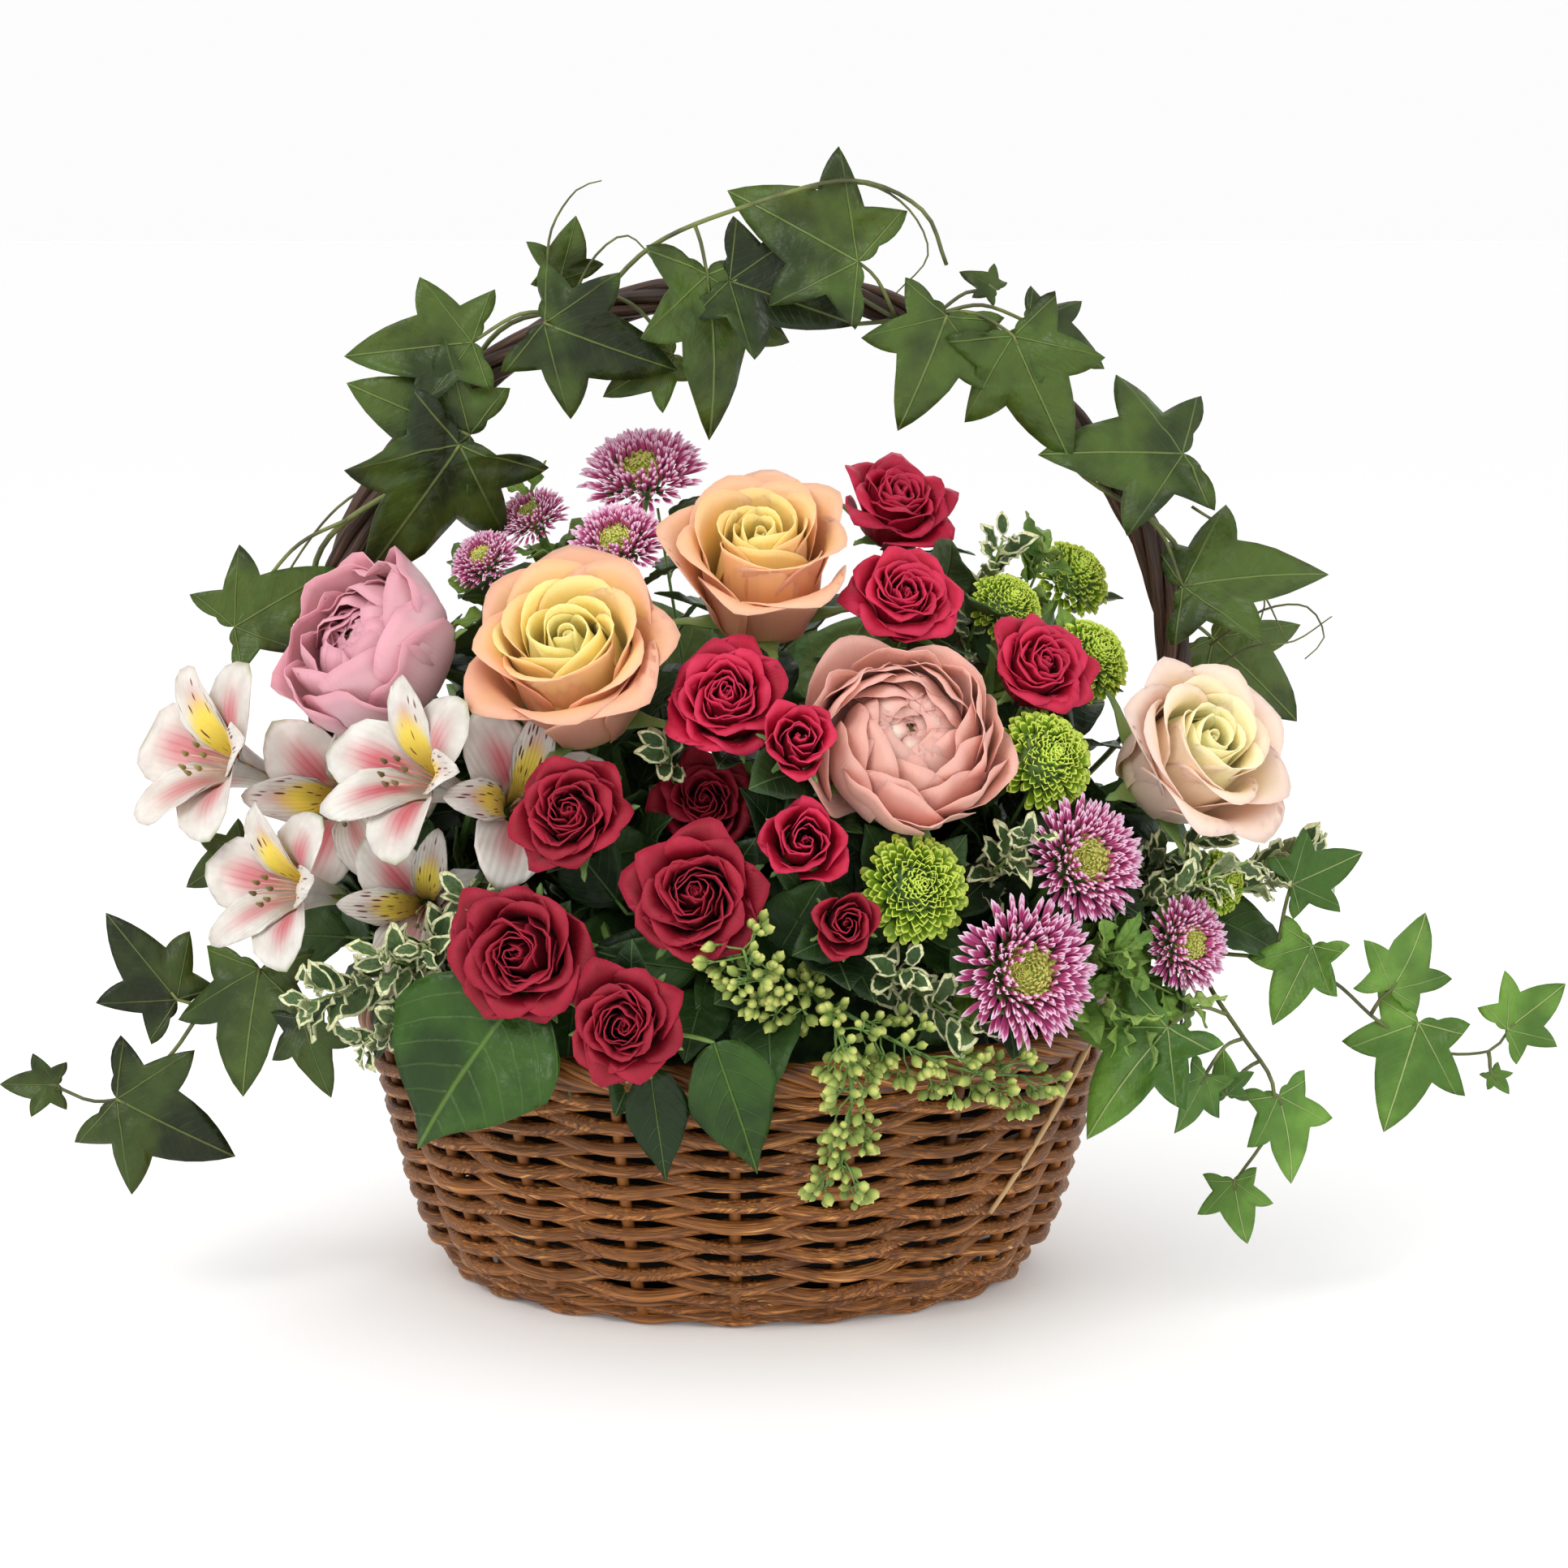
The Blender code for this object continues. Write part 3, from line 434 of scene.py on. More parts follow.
# %% Grow a rose
def rose(spot, chance, petals, openness, ruffle=0.012, rows=13, twist=1, tilt=(0, 0)):
    """A rose or spray rose in its place; twist is the way round that its petals overlap."""
    skin, grids = Skin(), []
    for number in range(petals):
        share = number / (petals - 1)
        loose = share ** 1.15
        flare = max(0.0, share - 0.55) / 0.45
        leans = (ease((0, 0.35, 1), (28, 74, 88), share), ease((0, 0.4, 1), (-4, 0, 12), share),
                 ease((0, 0.3, 0.6, 1), (-28, -14, 0, 30), share) * openness,
                 ease((0, 0.35, 0.55, 0.75, 1), (-16, 4, 34, 96, 138), share) * openness)
        length = ease((0, 0.3, 0.6, 1), (0.84, 1.06, 1.12, 1.12), share)
        grid = petal_grid(
            chance, length * chance.uniform(0.97, 1.03), (0.3 + 0.34 * loose) * chance.uniform(0.93, 1.07),
            np.array(leans) + chance.uniform(-5, 5, 4) * (0.4 + share), start=0.02 + 0.05 * share,
            turn=twist * (number * GOLDEN_ANGLE + chance.uniform(-0.15, 0.15)), wrap=2.3 - 0.9 * share,
            spiral=twist * (0.34 - 0.26 * share), cusp=0.05 * flare, roundness=0.2 + 0.12 * share,
            lip=0.1 * flare * openness, ruffle=ruffle * (0.5 + share), rows=rows, columns=rows)
        grids.append((grid, share, chance.uniform(-1, 1)))
    add_petals(skin, spot, grids, 70, PETAL_THICKNESS)
    add_hip(skin, spot, chance)
    skin.move(spot.matrix(*tilt, roll=chance.uniform(0, math.tau), pivot=0.5))
    return skin


# %% [markdown]
# A petal's colour isn't even: it is warmer or paler at the heart, changes towards its edge, and its
# outside often differs from its inside. Fine veins run from base to edge. The material reads the
# petal's own numbers and its own map, so the pattern bends with the petal.

# %% Petal materials
def petal_finish(name, heart, body, edge, outside, foot=None, shade=0.1, roughness=0.5, veins=26.0,
                 light_through=0.12, edge_from=0.72, blush=0.5, sheen=0.08, inner_edge=1.0):
    """A material for layered petals; heart, body, edge, outside and foot are its colours.

    The edge colour is full on the outermost petals and its inner_edge share on the innermost.
    """
    finish = Finish(name, roughness, subsurface_weight=light_through, subsurface_scale=0.004,
                    sheen_weight=sheen, sheen_roughness=0.4)
    finish.shader.inputs["Specular IOR Level"].default_value = 0.3
    finish.shader.inputs["Subsurface Radius"].default_value = (1.0, 0.45, 0.3)
    u, v = finish.petal_uv()
    layer, tone, side = finish.number("layer"), finish.number("tone"), finish.number("side")
    colour = finish.mix(finish.between(layer, 0.1, 0.75), heart, body)
    back = finish.times(finish.minus(1.0, side), finish.between(layer, 0.25, 0.9))
    colour = finish.mix(back, colour, outside)
    colour = finish.mix(finish.times(finish.between(layer, 0.72, 0.98), blush), colour, outside)
    mottle = finish.noise(90.0, 3.0)
    rimmed = finish.between(finish.plus(v, finish.times(mottle, 0.18)), edge_from + 0.09, 1.1)
    rimmed = finish.times(rimmed, finish.between(layer, 0.4, 0.85, inner_edge, 1.0))
    colour = finish.mix(rimmed, colour, edge)
    if foot:
        colour = finish.mix(finish.between(v, 0.0, 0.45, 0.9, 0.0), colour, foot)
    wander = finish.times(mottle, 0.7)
    lines = finish.math("SINE", finish.plus(finish.times(u, veins * math.tau), wander))
    fade = finish.times(finish.times(lines, 0.012), finish.minus(1.0, v))
    light = finish.plus(1.0, finish.times(tone, shade * 0.6))
    light = finish.plus(light, finish.times(finish.minus(mottle, 0.5), shade))
    light = finish.plus(light, fade)
    normal = finish.relief(finish.plus(lines, finish.times(finish.noise(700.0), 0.8)), 0.00002)
    return finish.done(finish.scaled(colour, light), normal)


def green_finish(name, young, old, roughness=0.5, scale=60.0):
    """Stems, sepals and bracts: one green drifting into another."""
    finish = Finish(name, roughness, subsurface_weight=0.06, subsurface_scale=0.003)
    drift = finish.noise(scale, 4.0)
    fine = finish.noise(900.0)
    colour = finish.mix(finish.between(drift, 0.35, 0.65), old, young)
    return finish.done(finish.scaled(colour, finish.plus(0.85, finish.times(fine, 0.3))),
                       finish.relief(fine, 0.0001))


STEM_GREEN = green_finish("stem_green", (0.2, 0.34, 0.07), (0.1, 0.2, 0.045))
SEPAL_GREEN = green_finish("sepal_green", (0.23, 0.36, 0.1), (0.12, 0.24, 0.06))

# %% [markdown]
# ## Ranunculus
# A ranunculus is many more petals than a rose, each thin, short and cupped over the heart. The same
# petal does it: the leans stay near upright or inwards until the outermost ones.

# %% Grow a ranunculus
def ranunculus(spot, chance, petals, ruffle, tilt, wide=1.0, close=1.0, bloom=1.0):
    """Cupped layers round an open eye; bloom is how far the outermost petals lean back."""
    skin, grids = Skin(), []
    for number in range(petals):
        share = number / (petals - 1)
        leans = (90, ease((0, 0.5, 1), (26, 30, 46), share),
                 ease((0, 0.5, 0.85, 1), (-56 * close, -40 * close, -8, 20 * bloom), share),
                 ease((0, 0.5, 0.85, 1), (-100 * close, -84 * close, -26, 50 * bloom), share))
        length = ease((0, 0.5, 0.85, 1), (0.8, 1.2, 1.38, 1.3), share)
        grid = petal_grid(
            chance, length * chance.uniform(0.96, 1.04),
            (0.24 + 0.34 * share) * wide * chance.uniform(0.88, 1.12),
            np.array(leans) + chance.uniform(-5, 5, 4), start=0.02 + 0.1 * share,
            turn=number * GOLDEN_ANGLE + chance.uniform(-0.2, 0.2), wrap=1.4, spiral=0.12,
            roundness=0.26, ruffle=ruffle * (0.5 + share), rows=11, columns=12,
            lift=ease((0, 0.6, 1), (0.38, 0.14, 0), share))
        grids.append((grid, share, chance.uniform(-1, 1)))
    add_petals(skin, spot, grids, 75, PETAL_THICKNESS * 0.8)
    eye = [Vector((0, 0, spot.height * up)) for up in (0.3, 0.6, 0.74)]
    add_tube(skin, eye, spot.radius * 0.12, tip=0.7, sides=10, finish=2)
    add_hip(skin, spot, chance)
    skin.move(spot.matrix(*tilt, roll=chance.uniform(0, math.tau)))
    return skin


# %% [markdown]
# ## Alstroemeria
# Six tepals in two rings. The three outer ones are broad, with a small green point. The three inner
# ones are narrower: the upper two have a yellow throat with dark dashes, and all blush along the
# middle. The number `layer` tells the material which kind a tepal is.

# %% Grow an alstroemeria
OUTER_TEPAL, THROAT_TEPAL, LOWER_TEPAL = 0.0, 1.0, 0.5
TEPAL_WIDTHS = {OUTER_TEPAL: 0.78, THROAT_TEPAL: 0.36, LOWER_TEPAL: 0.42}  # shares of the radius
TEPAL_OUTLINE = (0, 0.36, 0.74, 1.2), (0.16, 0.44, 1.0, 0.9)
STAMENS, ANTHER_REACH = 6, Vector((0.3, 0.5, 2.6)) * MM


def alstroemeria(spot, chance, tilt, roll):
    """A funnel of six tepals, its stamens, and the green end of its stalk."""
    skin = Skin()
    reach = spot.radius
    kinds = [(90 + 120 * number, OUTER_TEPAL) for number in range(3)]
    kinds += [(38, THROAT_TEPAL), (142, THROAT_TEPAL), (-90, LOWER_TEPAL)]
    for degrees, kind in kinds:
        outer = kind == OUTER_TEPAL
        grid = petal_grid(
            chance, spot.height * (1.22 if outer else 1.25),
            reach * TEPAL_WIDTHS[kind] * chance.uniform(0.95, 1.05),
            (8, 16, 66, 98) if outer else (8, 16, 54, 86), start=reach * (0.09 if outer else 0.05),
            turn=math.radians(degrees + chance.uniform(-6, 6)), wrap=1.2, spiral=0.0,
            cusp=0.04 if outer else 0.02, roundness=0.42, ruffle=reach * 0.05, rows=18, columns=11,
            outline=TEPAL_OUTLINE)
        skin.sheet(grid, PETAL_THICKNESS, layer=kind, tone=chance.uniform(-1, 1))
    for number in range(STAMENS):
        turn = number * math.tau / STAMENS + chance.uniform(-0.2, 0.2)
        lean = chance.uniform(0.12, 0.2)
        line = [Vector((math.cos(turn) * reach * lean * t,
                        math.sin(turn) * reach * lean * t - reach * 0.12 * t * t,
                        spot.height * (0.1 + 0.75 * t))) for t in np.linspace(0, 1, 7)]
        add_tube(skin, line, 0.35 * MM, tip=0.7, sides=5, finish=1)
        add_tube(skin, [line[-1], line[-1] + ANTHER_REACH], 0.9 * MM, tip=0.5, finish=2)
    stalk_end = [Vector((0, 0, spot.height * t)) for t in (-0.02, 0.05, 0.16)]
    add_tube(skin, stalk_end, 2.6 * MM, tip=0.75, finish=3)
    skin.move(spot.matrix(*tilt, roll=roll))
    return skin


def tepal_finish(name):
    """White, with a blush along the middle, a yellow throat on some and dark dashes in it."""
    finish = Finish(name, 0.45, subsurface_weight=0.15, subsurface_scale=0.004, sheen_weight=0.1)
    u, v = finish.petal_uv()
    kind, tone = finish.number("layer"), finish.number("tone")
    off = finish.math("ABSOLUTE", finish.minus(u, 0.5))
    mottle = finish.noise(120.0, 4.0)
    white = finish.mix(finish.between(mottle, 0.3, 0.7), tint(226, 219, 212), tint(204, 194, 186))
    throat = finish.between(kind, 0.9, 0.95)
    band = finish.between(finish.plus(off, finish.times(mottle, 0.14)), 0.08, 0.3, 1.0, 0.0)
    upper = finish.between(v, 0.3, 0.5)
    tip = finish.between(v, 0.62, 0.92, 1.0, 0.0)
    blush = finish.times(finish.times(band, upper), tip)
    blush = finish.times(blush, finish.plus(0.72, finish.times(tone, 0.25)), clamp=True)
    colour = finish.mix(blush, white, tint(198, 84, 96))
    streak = finish.math("SINE", finish.times(u, 120.0))
    colour = finish.mix(finish.times(finish.times(finish.between(streak, 0.2, 0.9), blush), 0.4),
                        colour, tint(186, 44, 78))
    yellow = finish.times(throat, finish.between(v, 0.62, 0.84, 1.0, 0.0))
    colour = finish.mix(yellow, colour, tint(248, 218, 84))
    cells = finish.node("ShaderNodeTexVoronoi", {"Vector": finish.vector(
        finish.times(u, 15.0), finish.times(v, 6.0), finish.times(tone, 9.0)),
        "Scale": 1.0, "Randomness": 0.7})
    dash = finish.times(finish.between(cells.outputs["Distance"], 0.2, 0.32, 1.0, 0.0),
                        finish.times(throat, finish.between(v, 0.35, 0.42)))
    dash = finish.times(dash, finish.between(v, 0.88, 0.97, 1.0, 0.0))
    colour = finish.mix(dash, colour, tint(88, 22, 34))
    colour = finish.mix(finish.between(v, 0.02, 0.3, 0.8, 0.0), colour, tint(160, 176, 96))
    green = finish.times(finish.between(kind, 0.05, 0.1, 1.0, 0.0),
                         finish.times(finish.between(v, 0.95, 1.04),
                                      finish.between(off, 0.05, 0.14, 1.0, 0.0)))
    colour = finish.mix(green, colour, tint(140, 160, 80))
    lines = finish.math("SINE", finish.times(u, 90.0))
    return finish.done(colour, finish.relief(lines, 0.00005))


# %% [markdown]
# ## Florets by the hundred
# An aster or a button mum is a head of many small florets. Their places follow one rule, the golden
# angle on a dome, so Geometry Nodes lay them out: the tree makes the points, turns a floret to face
# outwards at each, and gives each a chance number for its colour. Only its inputs differ by flower.

# %% Build the floret tree
class Layout(Wiring):
    """A Geometry Nodes tree with named inputs, run on an empty mesh to make a plain one."""

    KINDS = {float: "NodeSocketFloat", int: "NodeSocketInt", bpy.types.Object: "NodeSocketObject",
             bpy.types.Material: "NodeSocketMaterial"}

    def __init__(self, name, **inputs):
        super().__init__(bpy.data.node_groups.new(name, "GeometryNodeTree"))
        face = self.tree.interface
        face.new_socket("Geometry", in_out="INPUT", socket_type="NodeSocketGeometry")
        face.new_socket("Geometry", in_out="OUTPUT", socket_type="NodeSocketGeometry")
        for label, kind in inputs.items():
            face.new_socket(label, in_out="INPUT", socket_type=self.KINDS[kind])
        self.entry = self.tree.nodes.new("NodeGroupInput")
        self.leave = self.tree.nodes.new("NodeGroupOutput")

    def given(self, label):
        return self.entry.outputs[label]

    def store(self, geometry, label, value, domain="POINT"):
        return self.node("GeometryNodeStoreNamedAttribute",
                         {"Geometry": geometry, "Name": label, "Value": value},
                         data_type="FLOAT", domain=domain).outputs[0]

    def stored(self, label, data_type="FLOAT"):
        """Reads an attribute back."""
        return self.node("GeometryNodeInputNamedAttribute", {"Name": label}, data_type=data_type).outputs[0]

    def chance(self, low, high, each, seed):
        """A chance number for each point or rod."""
        return self.node("FunctionNodeRandomValue", {2: low, 3: high, "ID": each, "Seed": seed},
                         data_type="FLOAT").outputs[1]

    def copies(self, points, pattern, turn, size):
        """Sets a copy of the object given as pattern on every point."""
        shape = self.node("GeometryNodeObjectInfo", {"Object": self.given(pattern)}).outputs[4]
        return self.node("GeometryNodeInstanceOnPoints", {
            "Points": points, "Instance": shape, "Rotation": turn, "Scale": size}).outputs[0]

    def end(self, geometry):
        """Every tree ends in real geometry with its material."""
        real = self.node("GeometryNodeRealizeInstances", {0: geometry}).outputs[0]
        painted = self.node("GeometryNodeSetMaterial", {"Geometry": real, "Material": self.given("Material")})
        self.fill(self.leave.inputs[0], painted.outputs[0])

    def make(self, name, source=None, **values):
        """Runs the tree on a source mesh, or on nothing, and returns the plain mesh that it gives."""
        holder = bpy.data.objects.new(name, source or bpy.data.meshes.new(name))
        bpy.context.scene.collection.objects.link(holder)
        modifier = holder.modifiers.new(name, "NODES")
        modifier.node_group = self.tree
        sockets = {item.name: item.identifier for item in self.tree.interface.items_tree
                   if item.in_out == "INPUT"}
        for label, value in values.items():
            modifier[sockets[label]] = value
        holder.update_tag()
        graph = bpy.context.evaluated_depsgraph_get()
        mesh = bpy.data.meshes.new_from_object(holder.evaluated_get(graph), depsgraph=graph)
        bpy.data.objects.remove(holder, do_unlink=True)
        mesh.name = name
        return mesh


def build_head_tree():
    tree = Layout("floret head", Floret=bpy.types.Object, Count=int, Inner=float, Outer=float, Dome=float,
                  Rise=float, Fill=float, First_Lean=float, Last_Lean=float, First_Length=float,
                  Last_Length=float, Loose=float, Seed=int, Material=bpy.types.Material)
    index = tree.node("GeometryNodeInputIndex").outputs[0]
    share = tree.math("DIVIDE", tree.plus(index, 0.5), tree.given("Count"))

    def chance(low, high, step):
        return tree.chance(low, high, index, tree.plus(tree.given("Seed"), step))

    def blend(first, last):
        return tree.node("ShaderNodeMix", {0: share, 2: tree.given(first), 3: tree.given(last)},
                         data_type="FLOAT", clamp_factor=True).outputs[0]

    turn = tree.plus(tree.times(index, GOLDEN_ANGLE), chance(-0.12, 0.12, 1))
    spread = tree.math("POWER", share, tree.given("Fill"))
    band = tree.minus(tree.given("Outer"), tree.given("Inner"))
    out = tree.plus(tree.given("Inner"), tree.times(band, spread))
    fall = tree.times(tree.times(spread, spread), tree.given("Dome"))
    up = tree.minus(tree.given("Rise"), fall)
    place = tree.vector(tree.times(out, tree.math("COSINE", turn)),
                        tree.times(out, tree.math("SINE", turn)), up)
    lean = tree.plus(blend("First_Lean", "Last_Lean"),
                     tree.times(chance(-1.0, 1.0, 2), tree.given("Loose")))
    rise = tree.minus(lean, math.pi / 2)
    length = tree.times(blend("First_Length", "Last_Length"), chance(0.88, 1.1, 3))
    width = tree.times(tree.plus(length, tree.given("Last_Length")), 0.5)
    points = tree.node("GeometryNodePoints", {"Count": tree.given("Count"), "Position": place}).outputs[0]
    points = tree.store(points, "layer", share)
    points = tree.store(points, "tone", chance(-1.0, 1.0, 4))
    roll = tree.times(chance(-1.0, 1.0, 5), tree.given("Loose"))
    tree.end(tree.copies(points, "Floret", tree.vector(roll, rise, turn), tree.vector(length, width, width)))
    return tree


HEAD = build_head_tree()
FLORET_THICKNESS = 0.04  # a share of a floret's length


def floret(name, width, cup, blunt, rows=5):
    """A strap petal one unit long, along X from the origin, its face up; it is only a pattern."""
    skin = Skin()
    t = np.linspace(0, 1, rows)[:, None]
    s = np.linspace(-1, 1, 3)[None, :]
    half = width / 2 * np.interp(t, (0, 0.35, 0.75, 1), (0.35, 0.85, 1.0, blunt))
    reach = t * (1 - 0.12 * np.abs(s) ** 2)
    grid = np.stack([reach, s * half, cup * (s ** 2 * half + 0.18 * t ** 2)], -1)
    skin.sheet(grid[:, ::-1], FLORET_THICKNESS)
    piece = skin.piece(name)
    piece.hide_render = True
    piece.hide_set(True)
    return piece


print("the floret tree has", len(HEAD.tree.nodes), "nodes")

# %% [markdown]
# ## Willow
# The basket's wall is randed: each rod goes in front of one stake and behind the next, and the row
# above does the opposite. Modelling rods one by one would take hours, and a bump picture would look
# flat from the side. In Geometry Nodes a row is a ring of points whose distance from the middle
# swings in and out with the stakes. The points of each row become a curve, and the curve a rod.

# %% Willow material
def willow_finish(name, dark, middle, light, gloss=0.42):
    """Peeled and boiled willow: streaks along each rod, the pale ones partly painted highlight, and rods that
    differ.
    """
    finish = Finish(name, gloss)
    along, around, tone = finish.number("along"), finish.number("around"), finish.number("tone")
    turn = finish.times(around, math.tau)
    lane = finish.vector(finish.times(along, 28.0),
                         finish.times(finish.math("COSINE", turn), 1.6),
                         finish.plus(finish.times(finish.math("SINE", turn), 1.6),
                                     finish.times(tone, 40.0)))
    streak = finish.noise(1.6, 5.0, lane, 0.4)
    patch = finish.noise(26.0, 3.0)
    colour = finish.mix(finish.between(streak, 0.34, 0.62), dark, middle)
    # pale streaks in the light colour: partly the willow's own colour, partly a painted highlight
    pale_streak_and_painted_highlight = finish.times(finish.between(streak, 0.56, 0.75), finish.between(patch, 0.35, 0.65))
    colour = finish.mix(pale_streak_and_painted_highlight, colour, light)
    bright = finish.plus(finish.plus(0.8, finish.times(tone, 0.3)), finish.times(patch, 0.35))
    rough = finish.plus(gloss - 0.1, finish.times(streak, 0.3))
    return finish.done(finish.scaled(colour, bright), finish.relief(streak, 0.0005), rough)


# the third colour of each willow paints its pale streaks, which are partly a painted highlight
WILLOW = willow_finish("willow", tint(80, 42, 16), tint(170, 106, 46), tint(236, 184, 112))
DARK_WILLOW = willow_finish("dark_willow", tint(40, 24, 17), tint(84, 54, 38), tint(124, 88, 66), 0.5)
PALE_WILLOW = willow_finish("pale_willow", tint(166, 126, 80), tint(212, 176, 126), tint(240, 214, 172))


# %% Build the weaving tree
def build_weave_tree():
    tree = Layout("woven rows", Rows=int, Steps=int, Stakes=int, Swing=float, Foot=float, Head=float,
                  Foot_Half=float, Head_Half=float, Squeeze=float, Bow=float, Rod=float, Phase=float,
                  Uneven=float, Dip=float, Material=bpy.types.Material)
    index = tree.node("GeometryNodeInputIndex").outputs[0]
    row = tree.math("FLOOR", tree.math("DIVIDE", tree.plus(index, 0.5), tree.given("Steps")))
    around = tree.math("DIVIDE", tree.math("MODULO", index, tree.given("Steps")), tree.given("Steps"))
    turn = tree.times(around, math.tau)
    share = tree.math("DIVIDE", row, tree.math("MAXIMUM", tree.minus(tree.given("Rows"), 1.0), 1.0))

    def wander(scale, shift):
        place = tree.vector(tree.times(tree.math("COSINE", turn), scale),
                            tree.times(tree.math("SINE", turn), scale),
                            tree.plus(tree.times(row, 3.7), shift))
        noise = tree.node("ShaderNodeTexNoise", {"Vector": place, "Scale": 1.0, "Detail": 1.0}).outputs[0]
        return tree.minus(noise, 0.5)

    uneven = tree.given("Uneven")
    rise = tree.times(tree.minus(tree.given("Head"), tree.given("Foot")), share)
    up = tree.plus(tree.plus(tree.given("Foot"), rise), tree.times(wander(3.0, 0.0), uneven))
    grow = tree.times(tree.minus(tree.given("Head_Half"), tree.given("Foot_Half")),
                      tree.math("POWER", share, tree.given("Bow")))
    half = tree.plus(tree.given("Foot_Half"), grow)
    beat = tree.plus(tree.times(turn, tree.times(tree.given("Stakes"), 0.5)),
                     tree.times(row, tree.given("Phase")))
    swing = tree.times(tree.math("COSINE", beat), tree.given("Swing"))
    up = tree.minus(up, tree.times(tree.math("COSINE", beat), tree.given("Dip")))
    out = tree.plus(half, tree.plus(swing, tree.times(wander(5.0, 9.0), uneven)))
    place = tree.vector(tree.times(out, tree.math("COSINE", turn)),
                        tree.times(tree.minus(out, tree.given("Squeeze")), tree.math("SINE", turn)), up)
    count = tree.times(tree.given("Rows"), tree.given("Steps"))
    points = tree.node("GeometryNodePoints", {"Count": count, "Position": place}).outputs[0]
    shade = tree.plus(tree.times(tree.chance(-1.0, 1.0, row, 4), 0.6),
                      tree.times(wander(2.0, 5.0), 1.6))
    points = tree.store(points, "tone", shade)
    points = tree.store(points, "along", tree.times(turn, half))
    points = tree.store(points, "thick", tree.plus(1.0, tree.times(wander(4.0, 2.0), 0.7)))
    rows = tree.node("GeometryNodePointsToCurves", {0: points, 1: row, 2: around}).outputs[0]
    rows = tree.node("GeometryNodeSetSplineCyclic", {0: rows, "Cyclic": True}).outputs[0]
    add_rods(tree, rows)
    return tree


def add_rods(tree, curves, caps=False):
    """Ends a tree by giving its curves the round section of a rod."""
    section = tree.node("GeometryNodeCurvePrimitiveCircle", {"Resolution": 8, "Radius": tree.given("Rod")})
    section = tree.store(section.outputs[0], "around", tree.node("GeometryNodeSplineParameter").outputs[0])
    thick = tree.stored("thick")
    rods = tree.node("GeometryNodeCurveToMesh", {0: curves, 1: section, 2: thick, 3: caps}).outputs[0]
    tree.end(tree.node("GeometryNodeSetShadeSmooth", {0: rods}).outputs[0])


WEAVE = build_weave_tree()


# %% [markdown]
# Some rods follow a line and twist round each other: the handle is a bundle of five, and the border
# on the rim is plaited from six. This tree copies one line several times and pushes each copy off
# it by an angle that grows along the way. The line is a plain string of edges made in the script.

# %% Build the twisting tree
def build_twist_tree():
    tree = Layout("twisted rods", Rods=int, Points=int, Apart=float, Pitch=float, Rod=float,
                  Material=bpy.types.Material)
    curve = tree.node("GeometryNodeMeshToCurve", {0: tree.given("Geometry")}).outputs[0]
    curve = tree.node("GeometryNodeResampleCurve", {0: curve, 2: tree.given("Points")}).outputs[0]
    copies = tree.node("GeometryNodeDuplicateElements", {0: curve, 2: tree.given("Rods")}, domain="SPLINE")
    number = copies.outputs[1]
    copies = tree.store(copies.outputs[0], "rod_number", number, "CURVE")
    spot = tree.node("GeometryNodeSplineParameter")
    which = tree.stored("rod_number")
    turns = tree.plus(tree.math("DIVIDE", spot.outputs[1], tree.given("Pitch")),
                      tree.math("DIVIDE", which, tree.given("Rods")))
    turn = tree.times(turns, math.tau)
    normal = tree.node("GeometryNodeInputNormal").outputs[0]
    tangent = tree.node("GeometryNodeInputTangent").outputs[0]
    side = tree.node("ShaderNodeVectorMath", {0: tangent, 1: normal}, operation="CROSS_PRODUCT").outputs[0]
    drift = tree.vector(tree.times(spot.outputs[1], 30.0), which)
    noise = tree.node("ShaderNodeTexNoise", {"Vector": drift, "Scale": 1.0}).outputs[0]
    apart = tree.times(tree.given("Apart"), tree.plus(0.75, tree.times(noise, 0.5)))
    shift = tree.node("ShaderNodeVectorMath", {
        0: tree.scaled(normal, tree.times(apart, tree.math("COSINE", turn))),
        1: tree.scaled(side, tree.times(apart, tree.math("SINE", turn)))}, operation="ADD").outputs[0]
    moved = tree.node("GeometryNodeSetPosition", {"Geometry": copies, "Offset": shift}).outputs[0]
    moved = tree.store(moved, "along", spot.outputs[1])
    moved = tree.store(moved, "tone", tree.chance(-1.0, 1.0, which, 2))
    moved = tree.store(moved, "thick", tree.plus(0.8, tree.times(noise, 0.4)))
    add_rods(tree, moved, True)
    return tree


TWIST = build_twist_tree()


def twist(name, line, rods, points, apart, pitch, rod, material):
    """Rods twisted round a line, which is given to the tree as a string of edges."""
    mesh = bpy.data.meshes.new("line")
    edges = [(step, step + 1) for step in range(len(line) - 1)]
    mesh.from_pydata([tuple(point) for point in line], edges, [])
    rods = TWIST.make(name, mesh, Rods=rods, Points=points, Apart=apart, Pitch=pitch, Rod=rod,
                      Material=material)
    return place(bpy.data.objects.new(name, rods))


# %% [markdown]
# The sizes come from the frame: the wall's box gives its half width at the rim, its depth and its
# height. The rows follow that box and stand only a few millimetres proud of it.

# %% Weave the basket
low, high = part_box("basket_wall")
PROUD_HEAD, PROUD_FOOT = 2.5 * MM, 4.5 * MM  # woven rods stand a little proud of the solid wall
HEAD_HALF, SQUEEZE, WALL_TOP = high.x + PROUD_HEAD, high.x - high.y, high.z
WALL_PAST_BASE = 8.6 * MM
FOOT_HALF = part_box("basket_base")[1].x + WALL_PAST_BASE + PROUD_FOOT
STAKES, ROD, WALL = 20, 2.2 * MM, 8 * MM
BOW = 0.62  # how quickly the wall widens on its way up
ROW_BOW = 0.78  # the same, for the woven rows


def wall_half(height):
    """The half width of the wall's middle at a height."""
    return FOOT_HALF - WALL / 2 + (HEAD_HALF - FOOT_HALF) * max(0.0, height / WALL_TOP) ** BOW


def oval_point(half, turn, height):
    return Vector((half * math.cos(turn), (half - SQUEEZE) * math.sin(turn), height))


